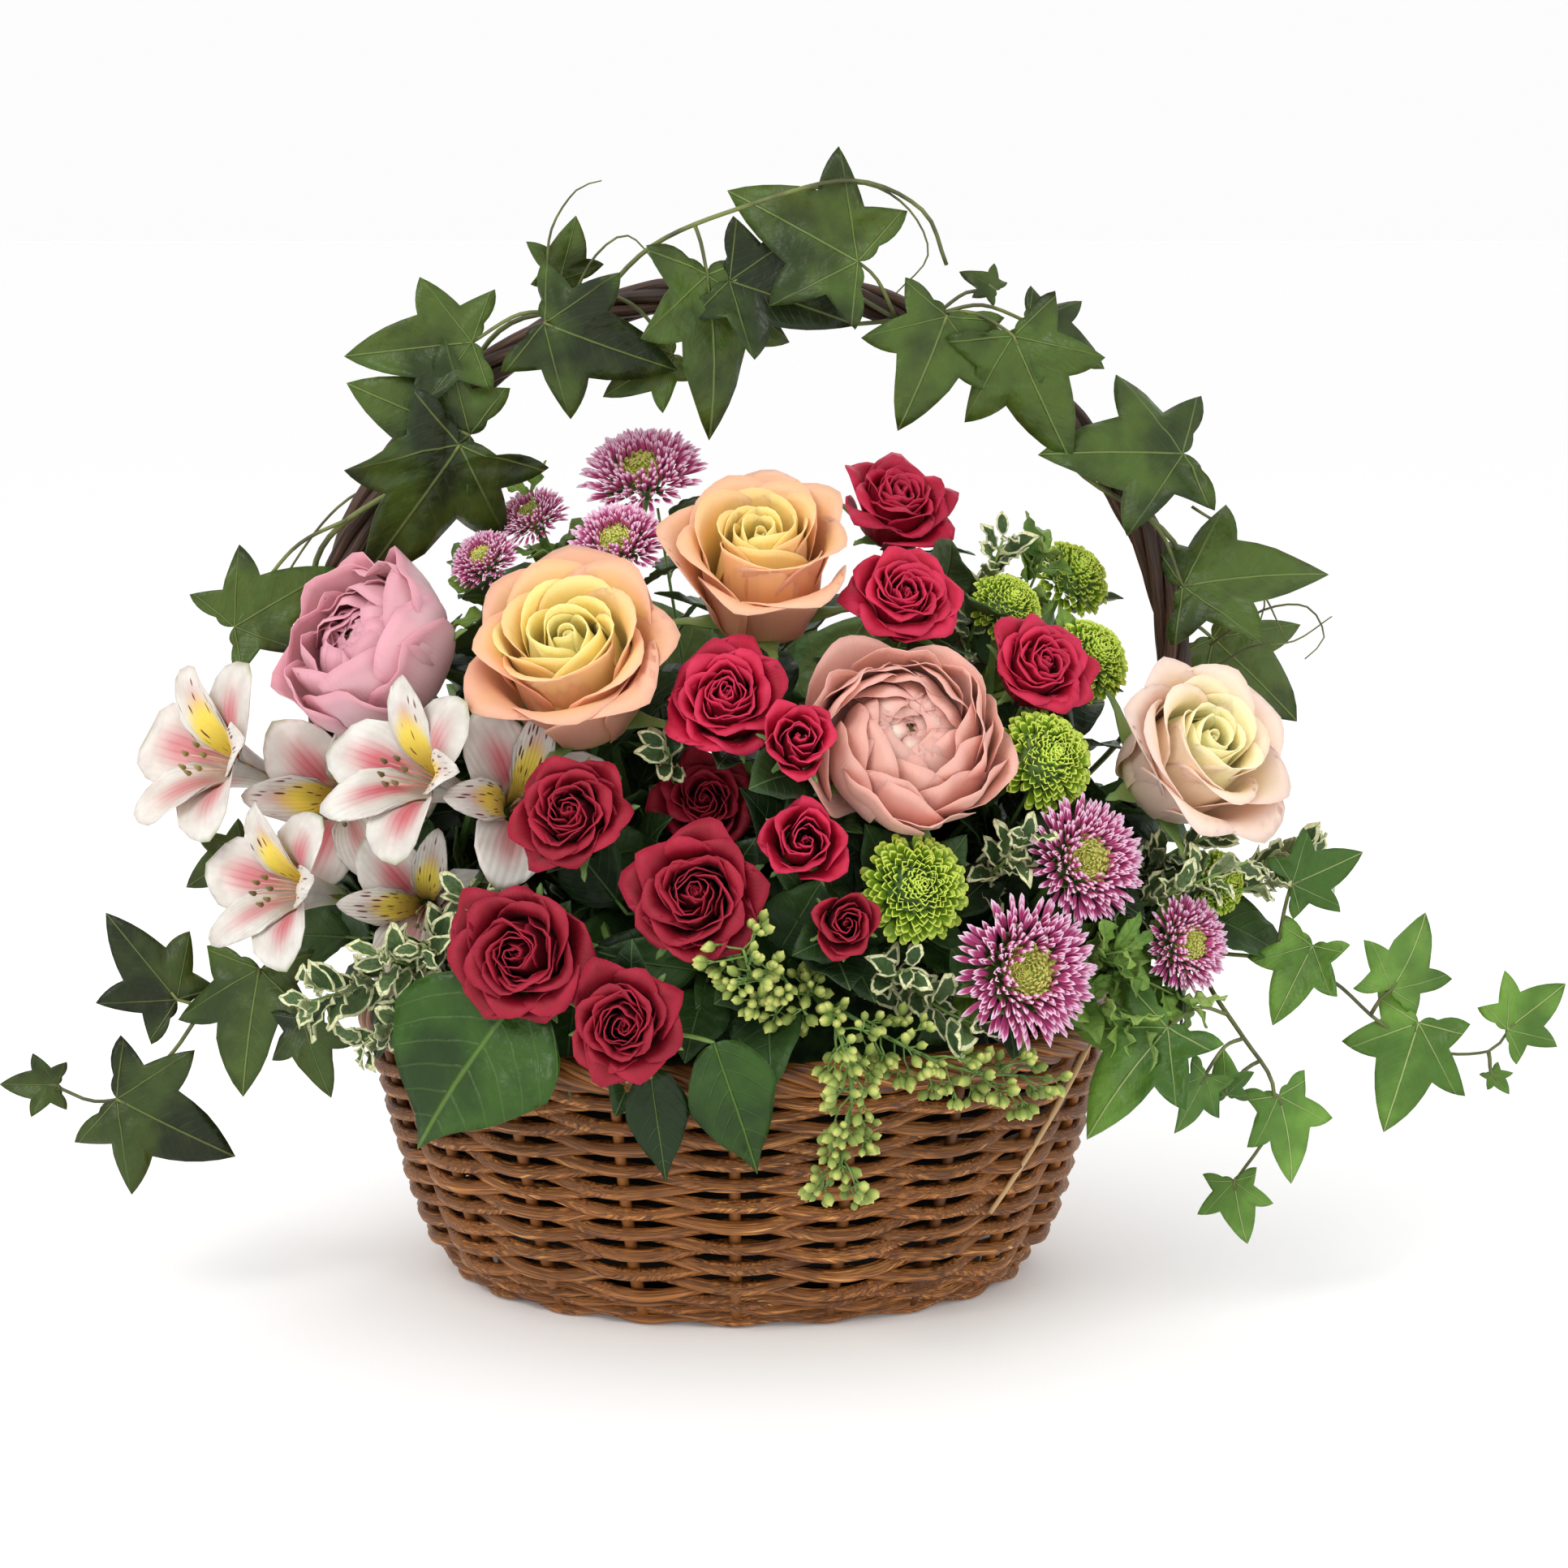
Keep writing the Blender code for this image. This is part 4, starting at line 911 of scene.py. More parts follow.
def weave(name, rows, foot, head, stakes, swing, rod, phase, uneven, dip, steps, bow):
    """Woven rows from one height to another."""
    mesh = WEAVE.make(name, Rows=rows, Steps=steps, Stakes=stakes, Swing=swing, Foot=foot, Head=head,
                      Foot_Half=wall_half(foot), Head_Half=wall_half(head), Squeeze=SQUEEZE, Bow=bow,
                      Rod=rod, Phase=phase, Uneven=uneven, Dip=dip, Material=WILLOW)
    return place(bpy.data.objects.new(name, mesh))


wall_rows = weave("wall_rods", rows=19, foot=13.5 * MM, head=WALL_TOP - 2 * MM, stakes=STAKES,
                  swing=2.6 * MM, rod=ROD, phase=math.pi, uneven=1.9 * MM, dip=1.4 * MM, steps=260,
                  bow=ROW_BOW)
settle(wall_rows, "willow", "basket_wall")
foot_rows = weave("foot_rods", rows=5, foot=2.4 * MM, head=11.0 * MM, stakes=STAKES * 2,
                  swing=1.1 * MM, rod=1.7 * MM, phase=math.tau / 3, uneven=0.8 * MM, dip=0.3 * MM,
                  steps=324, bow=1.0)
settle(foot_rows, "willow")

# %% Stakes, and one loose rod over the front
stakes = Skin()
stake_heights = np.linspace(1.5 * MM, WALL_TOP + 2 * MM, 9)
for number in range(STAKES):
    turn = math.tau * number / STAKES
    line = [oval_point(wall_half(height), turn, height) for height in stake_heights]
    add_tube(stakes, line, 2.1 * MM, tip=0.8, sides=8, tone=math.sin(number * 5.0))
loose_rod = [oval_point(wall_half(height) + 4.5 * MM, math.radians(turn), height)
             for turn, height in zip(np.linspace(-25, -44, 14), np.linspace(84, 34, 14) * MM)]
add_tube(stakes, loose_rod, 1.1 * MM, tip=0.7, sides=8, finish=1)
settle(stakes.piece("stakes", WILLOW, PALE_WILLOW), "willow")

# %% [markdown]
# The border is a plait: six thinner rods twist round the line of the rim. A bundle of five long
# rods makes the handle, and follows the middle line of the handle in the frame.

# %% Plait the border
rim_low, rim_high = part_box("basket_rim")
rim_middle = (rim_low.z + rim_high.z) / 2
rim_half = rim_high.x - (rim_high.z - rim_low.z) / 2 - 1 * MM + PROUD_HEAD
RIM_STEPS = 120
rim_line = [oval_point(rim_half, math.tau * step / RIM_STEPS, rim_middle) for step in range(RIM_STEPS + 1)]
border = twist("border", rim_line, rods=6, points=700, apart=3.5 * MM, pitch=64 * MM, rod=2.0 * MM,
               material=WILLOW)
settle(border, "willow", "basket_rim")

# %% Twist the handle, in millimetres
HANDLE_CENTRE_X, HANDLE_HALF_SPAN, SHOULDER, ARCH_RISE = 4, 138, 190, 130
LEG_FOOT, LEG_AT_RIM = (91.2, 30), (101, 84)


def handle_point(degrees):
    """The middle of the handle on its arch; 0 is the right shoulder."""
    turn = math.radians(degrees)
    return Vector((HANDLE_CENTRE_X + HANDLE_HALF_SPAN * math.cos(turn), 0,
                   SHOULDER + ARCH_RISE * math.sin(turn)))


def handle_leg(side):
    """The middle of one leg from foot to shoulder."""
    start, rim = (Vector((side * across, 0, up)) for across, up in (LEG_FOOT, LEG_AT_RIM))
    rise = SHOULDER - LEG_AT_RIM[1]
    end = Vector((HANDLE_CENTRE_X + side * HANDLE_HALF_SPAN, 0, SHOULDER))
    pull = rim + (rim - start).normalized() * rise * 0.35
    ease_in = end - Vector((0, 0, rise * 0.4))
    bow = [rim * (1 - t) ** 3 + pull * 3 * t * (1 - t) ** 2 + ease_in * 3 * t ** 2 * (1 - t) + end * t ** 3
           for t in np.linspace(0, 1, 9)]
    return [start, *bow]


arch = [handle_point(degrees) for degrees in range(6, 178, 6)]
handle_line = [point * MM for point in (*handle_leg(1), *arch, *reversed(handle_leg(-1)))]
handle = twist("handle_rods", handle_line, rods=5, points=420, apart=3.6 * MM, pitch=120 * MM, rod=ROD,
               material=DARK_WILLOW)
settle(handle, "dark_willow", "basket_handle")

# %% [markdown]
# ## The flowers
# Each bloom now gets its own petals. A garden rose is yellow in the heart and pink outside, a spray
# rose is crimson with a lighter edge, and no two are alike: each draws from its own chance numbers.

# %% Garden roses
def chance_for(number):
    """A stream of chance numbers that belongs to one piece."""
    return np.random.default_rng(100 + number)


LEMON_ROSE = petal_finish("lemon_rose", tint(255, 240, 158), tint(255, 226, 136), tint(242, 176, 148),
                          tint(232, 156, 130), foot=tint(254, 208, 98), light_through=0.25, blush=0.8,
                          inner_edge=0.05)
APRICOT_ROSE = petal_finish("apricot_rose", tint(255, 234, 148), tint(255, 214, 134), tint(244, 184, 152),
                            tint(234, 156, 124), foot=tint(252, 198, 96), light_through=0.25, blush=0.75,
                            inner_edge=0.1)
CREAM_ROSE = petal_finish("cream_rose", tint(255, 246, 182), tint(255, 241, 192), tint(248, 212, 196),
                          tint(242, 198, 180), foot=tint(255, 236, 156), light_through=0.25, blush=0.8,
                          inner_edge=0.05)
GARDEN_ROSES = {  # finish, petals, openness, tilt
    "peach_rose_left": (LEMON_ROSE, 32, 0.8, (0.0, 0.22)),
    "peach_rose_top": (APRICOT_ROSE, 30, 0.74, (-0.02, 0.2)),
    "peach_rose_right": (CREAM_ROSE, 30, 0.86, (0.02, 0.16)),
}
for number, (node, (material, petals, openness, tilt)) in enumerate(GARDEN_ROSES.items()):
    skin = rose(Spot(node), chance_for(number), petals, openness, twist=1 if number else -1, tilt=tilt)
    settle(skin.piece(node + "_petals", material, SEPAL_GREEN), "peach_petals", node)

# %% Spray roses
CRIMSON_ROSE = petal_finish("crimson_rose", tint(112, 3, 28), tint(172, 6, 46), tint(206, 42, 80),
                            tint(148, 5, 38), foot=tint(88, 1, 18), roughness=0.6, light_through=0.05,
                            edge_from=0.84, blush=0.0, shade=0.2, sheen=0.02)
# a darker copy of the crimson: painted shade for the spray roses listed in the next lines
SHADED_CRIMSON_ROSE = petal_finish("dark_crimson_rose", tint(74, 1, 14), tint(128, 4, 28), tint(162, 26, 52),
                         tint(100, 3, 22), foot=tint(58, 1, 10), roughness=0.6, light_through=0.05,
                         edge_from=0.84, blush=0.0, shade=0.2, sheen=0.02)
SPRAY_ROSES_IN_PAINTED_SHADE = ("spray_rose_upper_left", "spray_rose_front", "spray_rose_lower_left", "spray_rose_rim",
             "spray_rose_inner", "spray_rose_bud")
BUD_RADIUS = 14 * MM  # a smaller bloom is still a bud


def blooms_of(*kinds):
    """The nodes of the blooms, not the stems, whose names start alike."""
    return [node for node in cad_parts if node.startswith(kinds) and not node.endswith("stem")]


for number, node in enumerate(sorted(blooms_of("spray_rose"))):
    chance, spot = chance_for(20 + number), Spot(node)
    bud = spot.radius < BUD_RADIUS
    skin = rose(spot, chance, 18 if bud else 36, 0.78 if bud else chance.uniform(0.92, 1.06),
                ruffle=0.045, rows=9 if bud else 11, twist=chance.choice((-1, 1)))
    settle(skin.piece(node + "_petals", SHADED_CRIMSON_ROSE if node in SPRAY_ROSES_IN_PAINTED_SHADE else CRIMSON_ROSE, SEPAL_GREEN),
           "crimson_petals", node)

# %% Ranunculus
DUSTY_PINK = petal_finish("dusty_pink", tint(248, 230, 212), tint(238, 192, 178), tint(233, 172, 160),
                          tint(232, 172, 158), foot=tint(232, 182, 158), veins=34.0, light_through=0.2,
                          edge_from=0.86)
LILAC_PINK = petal_finish("lilac_pink", tint(176, 92, 108), tint(230, 176, 184), tint(224, 158, 172),
                          tint(236, 192, 198), foot=tint(166, 74, 92), veins=30.0)
RANUNCULUS_EYE = green_finish("ranunculus_eye", tint(128, 124, 60), tint(92, 62, 40), 0.7, 400.0)
skin = ranunculus(Spot("ranunculus_centre"), chance_for(41), 84, ruffle=0.03, tilt=(-0.05, 0.08))
settle(skin.piece("ranunculus_centre_petals", DUSTY_PINK, SEPAL_GREEN, RANUNCULUS_EYE), "blush_petals",
       "ranunculus_centre")
skin = ranunculus(Spot("ranunculus_left"), chance_for(42), 42, ruffle=0.06, tilt=(-0.18, 0.05), wide=1.2,
                  close=0.94, bloom=0.3)
settle(skin.piece("ranunculus_left_petals", LILAC_PINK, SEPAL_GREEN, RANUNCULUS_EYE), "blush_petals",
       "ranunculus_left")

# %% Alstroemeria
LILY_FINISHES = (tepal_finish("tepal"), green_finish("stamen", tint(232, 196, 190), tint(214, 150, 150)),
                 green_finish("anther", tint(150, 140, 84), tint(104, 96, 60)), STEM_GREEN)
LILIES = {  # tilt and roll
    "alstroemeria_upper": ((-0.1, 0.0), -0.5),
    "alstroemeria_middle": ((-0.24, 0.0), -0.75),
    "alstroemeria_lower": ((-0.1, 0.0), -0.6),
}
for number, (node, (tilt, roll)) in enumerate(LILIES.items()):
    skin = alstroemeria(Spot(node), chance_for(50 + number), tilt, roll)
    settle(skin.piece(node + "_tepals", *LILY_FINISHES), "white_petals", node)

# %% A second alstroemeria on each stalk, behind the first and turned the other way
MATES = {  # how far from the first in millimetres, and tilt
    "alstroemeria_upper": ((21, 8, -6), (0.75, -0.25)),
    "alstroemeria_middle": ((10, 10, -7), (0.75, 0.0)),
    "alstroemeria_lower": ((26, 8, -4), (0.7, -0.1)),
}
MATE_SIZE, MATE_ROLL, MATE_SPOTS = 0.88, 0.6, []
for number, (node, (shift, tilt)) in enumerate(MATES.items()):
    spot = Spot(node)
    spot.base += Vector(shift) * MM
    spot.radius *= MATE_SIZE
    MATE_SPOTS.append(spot)
    skin = alstroemeria(spot, chance_for(55 + number), tilt, MATE_ROLL)
    settle(skin.piece(node + "_mate", *LILY_FINISHES), "white_petals")

# %% [markdown]
# An aster is three heads in one: green bracts underneath, rows of lavender rays, and a yellow-green
# disc of tiny florets. A button mum has bracts and one dense dome. Under each sits a small green cup.

# %% Floret materials
def floret_finish(name, heart, body, tip, tip_from=0.7):
    """Strap florets: the colour changes from the heart outwards and again towards each tip, and darkens
    towards each floret's foot as painted shade.
    """
    finish = Finish(name, 0.5, subsurface_weight=0.1, subsurface_scale=0.002, sheen_weight=0.08)
    _, v = finish.petal_uv()
    layer, tone = finish.number("layer"), finish.number("tone")
    colour = finish.mix(finish.between(layer, 0.05, 0.6), heart, body)
    colour = finish.mix(finish.between(finish.plus(v, finish.times(tone, 0.12)), tip_from, 1.0),
                        colour, tip)
    # painted shade: each floret, and each pod that shares this finish, darkens to 0.7 towards its foot
    light = finish.times(finish.plus(1.0, finish.times(tone, 0.16)),
                         finish.between(v, 0.0, 0.5, 0.7, 1.0))
    return finish.done(finish.scaled(colour, light), finish.relief(finish.noise(500.0), 0.00005))


RAY = floret_finish("aster_ray", tint(216, 92, 156), tint(234, 132, 186), tint(250, 210, 234), 0.64)
DISC = floret_finish("aster_disc", tint(150, 172, 64), tint(226, 214, 74), tint(240, 232, 130), 0.3)
DISC_BED = green_finish("aster_disc_bed", tint(206, 204, 80), tint(150, 164, 60), 0.6, 300.0)
LIME = floret_finish("mum_floret", tint(140, 180, 34), tint(194, 220, 48), tint(224, 240, 96))
BRACT = floret_finish("bract", tint(70, 104, 36), tint(84, 124, 44), tint(110, 150, 64))


# %% Asters and button mums
CUP_SIDES = 12


def head(name, spot, pattern, material, count, seed, **sizes):
    """One head of florets in a bloom's place; sizes are shares of its radius and height, or degrees."""
    radius, height = spot.radius, spot.height
    mesh = HEAD.make(name, Floret=pattern, Count=count, Seed=seed, Material=material,
                     Inner=sizes["inner"] * radius, Outer=sizes["outer"] * radius,
                     Dome=sizes["dome"] * height, Rise=sizes["rise"] * height, Fill=sizes.get("fill", 0.5),
                     First_Lean=math.radians(sizes["leans"][0]), Last_Lean=math.radians(sizes["leans"][1]),
                     First_Length=sizes["lengths"][0] * radius, Last_Length=sizes["lengths"][1] * radius,
                     Loose=sizes.get("loose", 0.12))
    mesh.transform(spot.matrix())
    return place(bpy.data.objects.new(name, mesh))


def cup(name, spot, rings, material=SEPAL_GREEN):
    """A turned cup or bed under a head; rings are (radius, height) shares."""
    skin = Skin()
    points = turned_points(rings, CUP_SIDES, spot.radius, spot.height)
    skin.add(points, ring_faces(len(rings), CUP_SIDES), np.zeros((len(points), 2)))
    skin.move(spot.matrix())
    settle(skin.piece(name, material), "green_stem")


ray_pattern = floret("ray_pattern", 0.2, 0.9, blunt=0.6)
disc_pattern = floret("disc_pattern", 0.8, -0.6, blunt=0.8, rows=4)
mum_pattern = floret("mum_pattern", 0.5, 0.9, blunt=0.7)
ASTER_CUP = ((0.1, 0.0), (0.14, 0.2), (0.3, 0.42), (0.36, 0.62), (0.2, 0.72))
ASTER_BED = ((0.3, 0.6), (0.33, 0.74), (0.28, 0.79), (0.1, 0.78))
MUM_CUP = ((0.12, 0.0), (0.2, 0.12), (0.5, 0.3), (0.6, 0.5), (0.3, 0.7))
seeds = {node: number for kind in ("aster_", "mum_") for number, node in
         enumerate(sorted(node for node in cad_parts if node.startswith(kind)))}
for node in sorted(blooms_of("aster_")):
    spot, seed = Spot(node), seeds[node]
    cup(node + "_cup", spot, ASTER_CUP)
    cup(node + "_button", spot, ASTER_BED, DISC_BED)
    bracts = head(node + "_bracts", spot, mum_pattern, BRACT, 22, seed, inner=0.24, outer=0.32, dome=0.1,
                  rise=0.56, leans=(62, 84), lengths=(0.3, 0.36))
    rays = head(node + "_rays", spot, ray_pattern, RAY, 290, seed, inner=0.3, outer=0.66, dome=0.28,
                rise=0.8, fill=0.75, leans=(16, 88), lengths=(0.27, 0.38), loose=0.3)
    disc = head(node + "_disc", spot, disc_pattern, DISC, 130, seed, inner=0.0, outer=0.31, dome=0.03,
                rise=0.78, leans=(20, 40), lengths=(0.07, 0.12), loose=0.5)
    settle(rays, "lavender_florets", node)
    settle(disc, "lavender_florets")
    settle(bracts, "lavender_florets")

for node in sorted(blooms_of("mum_")):
    spot, seed = Spot(node), seeds[node]
    cup(node + "_cup", spot, MUM_CUP)
    bracts = head(node + "_bracts", spot, mum_pattern, BRACT, 20, seed, inner=0.3, outer=0.5, dome=0.1,
                  rise=0.4, leans=(70, 95), lengths=(0.3, 0.34))
    florets = head(node + "_florets", spot, mum_pattern, LIME, 250, seed, inner=0.03, outer=0.68,
                   dome=0.62, rise=0.84, fill=0.55, leans=(0, 108), lengths=(0.17, 0.33), loose=0.24)
    settle(florets, "lime_florets", node)
    settle(bracts, "lime_florets")

for pattern in (ray_pattern, disc_pattern, mum_pattern):
    bpy.data.objects.remove(pattern, do_unlink=True)

# %% [markdown]
# Leaves grow in what room the flowers leave. Before a small leaf is made, a few of its points are
# tried against every bloom's cup, which is a cone that widens from its base.

# %% Room for a leaf
BLOOM_SPOTS = [Spot(node) for node in blooms_of("peach_rose", "ranunculus", "spray_rose", "aster", "mum",
                                                "alstroemeria")]
CUPS = BLOOM_SPOTS + MATE_SPOTS
print("leaves keep clear of", len(CUPS), "blooms")


def cuts_a_bloom(points):
    """Whether any of the points, in millimetres, lies inside a bloom."""
    points = np.array([tuple(point) for point in points]) * MM
    for spot in CUPS:
        off = points - np.array(spot.base)
        up = off @ np.array(spot.axis)
        out = np.linalg.norm(off - np.outer(up, spot.axis), axis=1)
        room = spot.radius * np.clip(0.3 + up / spot.height, 0, 0.95)
        if ((up > 0.08 * spot.height) & (up < 1.1 * spot.height) & (out < room)).any():
            return True
    return False


# %% [markdown]
# ## Leaves
# A leaf is a thin plate with an outline, a slight fold along its middle rib, and edges that droop
# and ripple. An outline is half drawn: a few points from base to tip as shares of the leaf's
# length, with a bulge for each stretch between them, and the other half mirrors it. Rings of points
# shrink the outline towards the leaf's heart, which gives enough mesh to bend.

# %% Leaf outlines
IVY_HALF = ((0, 0), (-0.09, 0.17), (-0.17, 0.49), (0.1, 0.36), (0.42, 0.66), (0.43, 0.3), (1, 0))
IVY_BULGES = (0.035, 0.04, 0.008, 0.018, 0.025, 0.045)
OVAL_HALF = ((0, 0), (0.2, 0.24), (0.45, 0.32), (0.75, 0.2), (1, 0))
OVAL_BULGES = (0.03, 0.025, 0.025, 0.015)
POINTED_HALF = ((0, 0), (0.13, 0.26), (0.4, 0.37), (0.72, 0.19), (1, 0))
POINTED_BULGES = (0.04, 0.03, 0.012, -0.02)
SMALL_HALF = ((0, 0), (0.2, 0.2), (0.5, 0.27), (0.8, 0.19), (1, 0))


def outline(half, bulges, steps=5):
    """The whole edge from the tip round the base and back, as (along, across) shares."""
    edge = []
    for (u0, v0), (u1, v1), bulge in zip(half, half[1:], bulges):
        for step in range(steps):
            t = step / steps
            swell = 4 * t * (1 - t) * bulge
            long = math.hypot(u1 - u0, v1 - v0)
            edge.append((u0 + (u1 - u0) * t - (v1 - v0) / long * swell,
                         v0 + (v1 - v0) * t + (u1 - u0) / long * swell))
    edge.append(half[-1])
    return np.array(edge[::-1] + [(u, -v) for u, v in edge[1:-1]])


# %% Kinds of leaves
IVY_HEART, OVAL_HEART = 0.17, 0.4
IVY_LEAF = dict(edge=outline(IVY_HALF, IVY_BULGES), heart=IVY_HEART, droop=0.22, sag=0.2, fold=0.14,
                ripple=0.02, bend=0.13, twist=0.5, rings=5)
SALAL_LEAF = dict(edge=outline(OVAL_HALF, OVAL_BULGES, 4), heart=OVAL_HEART, droop=0.3, sag=0.35, fold=0.3,
                  ripple=0.015, bend=0.05, twist=0.2, rings=6)
POINTED_SALAL_LEAF = dict(SALAL_LEAF, edge=outline(POINTED_HALF, POINTED_BULGES, 4))
TWIG_LEAF = dict(SALAL_LEAF, sag=0.25, fold=0.22, ripple=0.02, twist=0.45, rings=4)
SMALL_LEAF = dict(edge=outline(SMALL_HALF, OVAL_BULGES, 3), heart=OVAL_HEART, droop=0.4, sag=0.2, fold=0.3,
                  ripple=0.07, bend=0.09, twist=0.6, rings=3)
LEAF_THICKNESS = 0.45
print("an ivy leaf's edge has", len(IVY_LEAF["edge"]), "points")


# %% Grow a leaf
def add_leaf(skin, chance, base, tip, face, width, tone, edge, heart, droop, sag, fold, ripple, bend, twist,
             rings):
    """One leaf from base to tip, in millimetres; it looks along face, give or take its twist.

    Shares of its length say how far it droops at the tip, sags at its sides, folds up from its rib,
    ripples at its edge and bends by chance.
    """
    base, tip = Vector(base), Vector(tip)
    length = (tip - base).length
    along = (tip - base).normalized()
    normal = (Vector(face) - along * Vector(face).dot(along)).normalized()
    normal.rotate(Matrix.Rotation(chance.uniform(-twist, twist), 3, along))
    across = normal.cross(along)
    shares = (np.arange(1, rings + 1) / rings) ** 0.85
    flat = np.array([heart, 0.0]) + (edge - np.array([heart, 0.0]))[None] * shares[:, None, None]
    flat = np.concatenate([[[heart, 0.0]], flat.reshape(-1, 2)])
    pattern = flat.copy()
    flat[:, 1] *= np.where(flat[:, 1] > 0, chance.uniform(0.88, 1.1), chance.uniform(0.88, 1.1))
    flat[:, 0] += flat[:, 1] * chance.uniform(-0.13, 0.13)
    rim = np.concatenate([[0.0], np.repeat(shares, len(edge))])
    u, v = flat[:, 0], flat[:, 1] * width
    angle = np.arctan2(v, u - heart)
    lift = fold * np.abs(v) - sag * v ** 2 - droop * np.maximum(u - heart, 0) ** 2
    phase = chance.uniform(0, math.tau, 2)
    lift = lift + ripple * rim ** 3 * (np.sin(5 * angle + phase[0]) + 0.6 * np.sin(11 * angle + phase[1]))
    for lobe in (0.0, 1.1, -1.1, 2.2, -2.2):
        lift = lift + chance.uniform(-bend, bend) * rim ** 2 * np.maximum(np.cos(angle - lobe), 0) ** 4
    lift = lift - lift[0]
    off = np.outer(u, along) + np.outer(v, across) + np.outer(lift, normal)
    middle = np.array(base)[None] + length * off
    half = np.array(normal) * LEAF_THICKNESS / 2
    count, around = len(flat), len(edge)
    faces = []
    for side in range(around):
        after = (side + 1) % around
        faces += [(0, 1 + side, 1 + after), (count, count + 1 + after, count + 1 + side)]
        for ring in range(rings - 1):
            low, high = 1 + ring * around, 1 + (ring + 1) * around
            faces.append((low + side, high + side, high + after, low + after))
            faces.append((count + low + after, count + high + after, count + high + side, count + low + side))
        last = 1 + (rings - 1) * around
        faces.append((last + after, last + side, count + last + side, count + last + after))
    points = np.concatenate([middle + half, middle - half]) * MM
    uv = np.tile(pattern, (2, 1))
    skin.add(points, faces, uv, side=np.repeat((0.0, 1.0), count), rim=np.tile(rim, 2), tone=tone)


def add_stalk(skin, line, base, tip, radius=0.7):
    """A leaf stalk, in millimetres, that leaves a vine and bends into the leaf's base."""
    base, tip = Vector(base), Vector(tip)
    same_side = [point for point in line if point.y * base.y > 7 * abs(base.y)]
    start = min(same_side or line, key=lambda point: (point - base).length)
    end = base + (tip - base).normalized() * 3
    middle = (start + base) / 2 + Vector((0, 0, 0.14 * (base - start).length))
    add_twig(skin, smooth_line((start, middle, base, end), 3), radius, tip=0.8)


# %% [markdown]
# An ivy leaf's veins fan out from its base, one to each lobe. The material folds the leaf's map in
# half, measures how far a point lies from each vein's line, and paints a pale line where that is
# small. Broad leaves have one rib with side veins at an even slant instead.

# %% Leaf materials
def leaf_finish(name, deep, fresh, vein, back, fan=(), slant=None, rim=None, roughness=0.38,
                vein_share=0.6):
    """A leaf's material: fan holds its veins' angles in degrees, slant the spacing of side veins.

    A fan's own side veins are finer and fainter.
    """
    finish = Finish(name, roughness, subsurface_weight=0.05, subsurface_scale=0.003)
    finish.shader.inputs["Specular IOR Level"].default_value = 0.3
    u, v = finish.petal_uv()
    w = finish.math("ABSOLUTE", v)
    tone, to_rim = finish.number("tone"), finish.number("rim")
    patch, fine = finish.noise(34.0, 3.0), finish.noise(420.0, 4.0)
    young = finish.plus(finish.between(patch, 0.36, 0.66), finish.times(tone, 0.35), clamp=True)
    colour = finish.mix(young, deep, fresh)
    veins = finish.between(w, 0.004, 0.016, 1.0, 0.0)
    for degrees in fan:
        cosine, sine = math.cos(math.radians(degrees)), math.sin(math.radians(degrees))
        off = finish.math("ABSOLUTE", finish.minus(finish.times(u, sine), finish.times(w, cosine)))
        ahead = finish.plus(finish.times(u, cosine), finish.times(w, sine))
        line = finish.times(finish.between(off, 0.002, 0.012, 1.0, 0.0),
                            finish.times(finish.between(ahead, 0.0, 0.02),
                                         finish.between(ahead, 0.2, 0.62, 1.0, 0.35)))
        veins = finish.math("MAXIMUM", veins, line)
    spacing, strength = (slant, 0.32) if slant else (0.085, 0.12)
    wander = finish.times(finish.noise(60.0), 0.05)
    slope = finish.times(w, finish.plus(0.5, finish.times(w, 1.6)))
    lane = finish.math("DIVIDE", finish.plus(wander, finish.minus(u, slope)), spacing)
    wave = finish.math("FRACT", lane)
    side_veins = finish.between(finish.math("ABSOLUTE", finish.minus(wave, 0.5)), 0.01, 0.07, 1.0, 0.0)
    veins = finish.math("MAXIMUM", veins, finish.times(side_veins, strength))
    if rim:
        cream = finish.between(finish.plus(to_rim, finish.times(finish.noise(260.0), 0.3)), 0.9, 0.96)
        colour = finish.mix(cream, colour, rim)
    colour = finish.mix(finish.times(veins, vein_share), colour, vein)
    colour = finish.mix(finish.times(finish.number("side"), 0.7), colour, back)
    light = finish.plus(finish.plus(0.86, finish.times(tone, 0.12)), finish.times(fine, 0.28))
    swell = finish.plus(patch, finish.times(finish.noise(130.0), 0.5))
    raised = finish.relief(veins, 0.0005, finish.relief(swell, 0.003, finish.relief(fine, 0.00012)))
    rough = finish.plus(roughness - 0.08, finish.times(fine, 0.2))
    return finish.done(finish.scaled(colour, light), raised, rough)


IVY = leaf_finish("ivy_leaf", tint(24, 38, 10), tint(66, 90, 30), tint(126, 146, 80), tint(100, 126, 62),
                  fan=(58, 106), vein_share=0.5)
YOUNG_IVY = leaf_finish("young_ivy_leaf", tint(60, 100, 32), tint(106, 150, 58), tint(184, 204, 132),
                        tint(112, 146, 88), fan=(52, 98))
SALAL = leaf_finish("salal_leaf", tint(22, 46, 10), tint(48, 82, 20), tint(104, 136, 58),
                    tint(104, 140, 84), slant=0.15, roughness=0.34, vein_share=0.5)
CREAM_EDGED = leaf_finish("cream_edged_leaf", tint(50, 78, 40), tint(92, 118, 70), tint(140, 160, 110),
                          tint(140, 156, 112), slant=0.2, rim=tint(226, 226, 178), roughness=0.42,
                          vein_share=0.3)
FLOWER_LEAF = leaf_finish("flower_leaf", tint(24, 46, 20), tint(56, 88, 38), tint(100, 130, 76),
                          tint(84, 112, 66), slant=0.14, roughness=0.45)
VINE_BARK = green_finish("vine_bark", tint(112, 122, 62), tint(72, 76, 42), 0.55, 80.0)
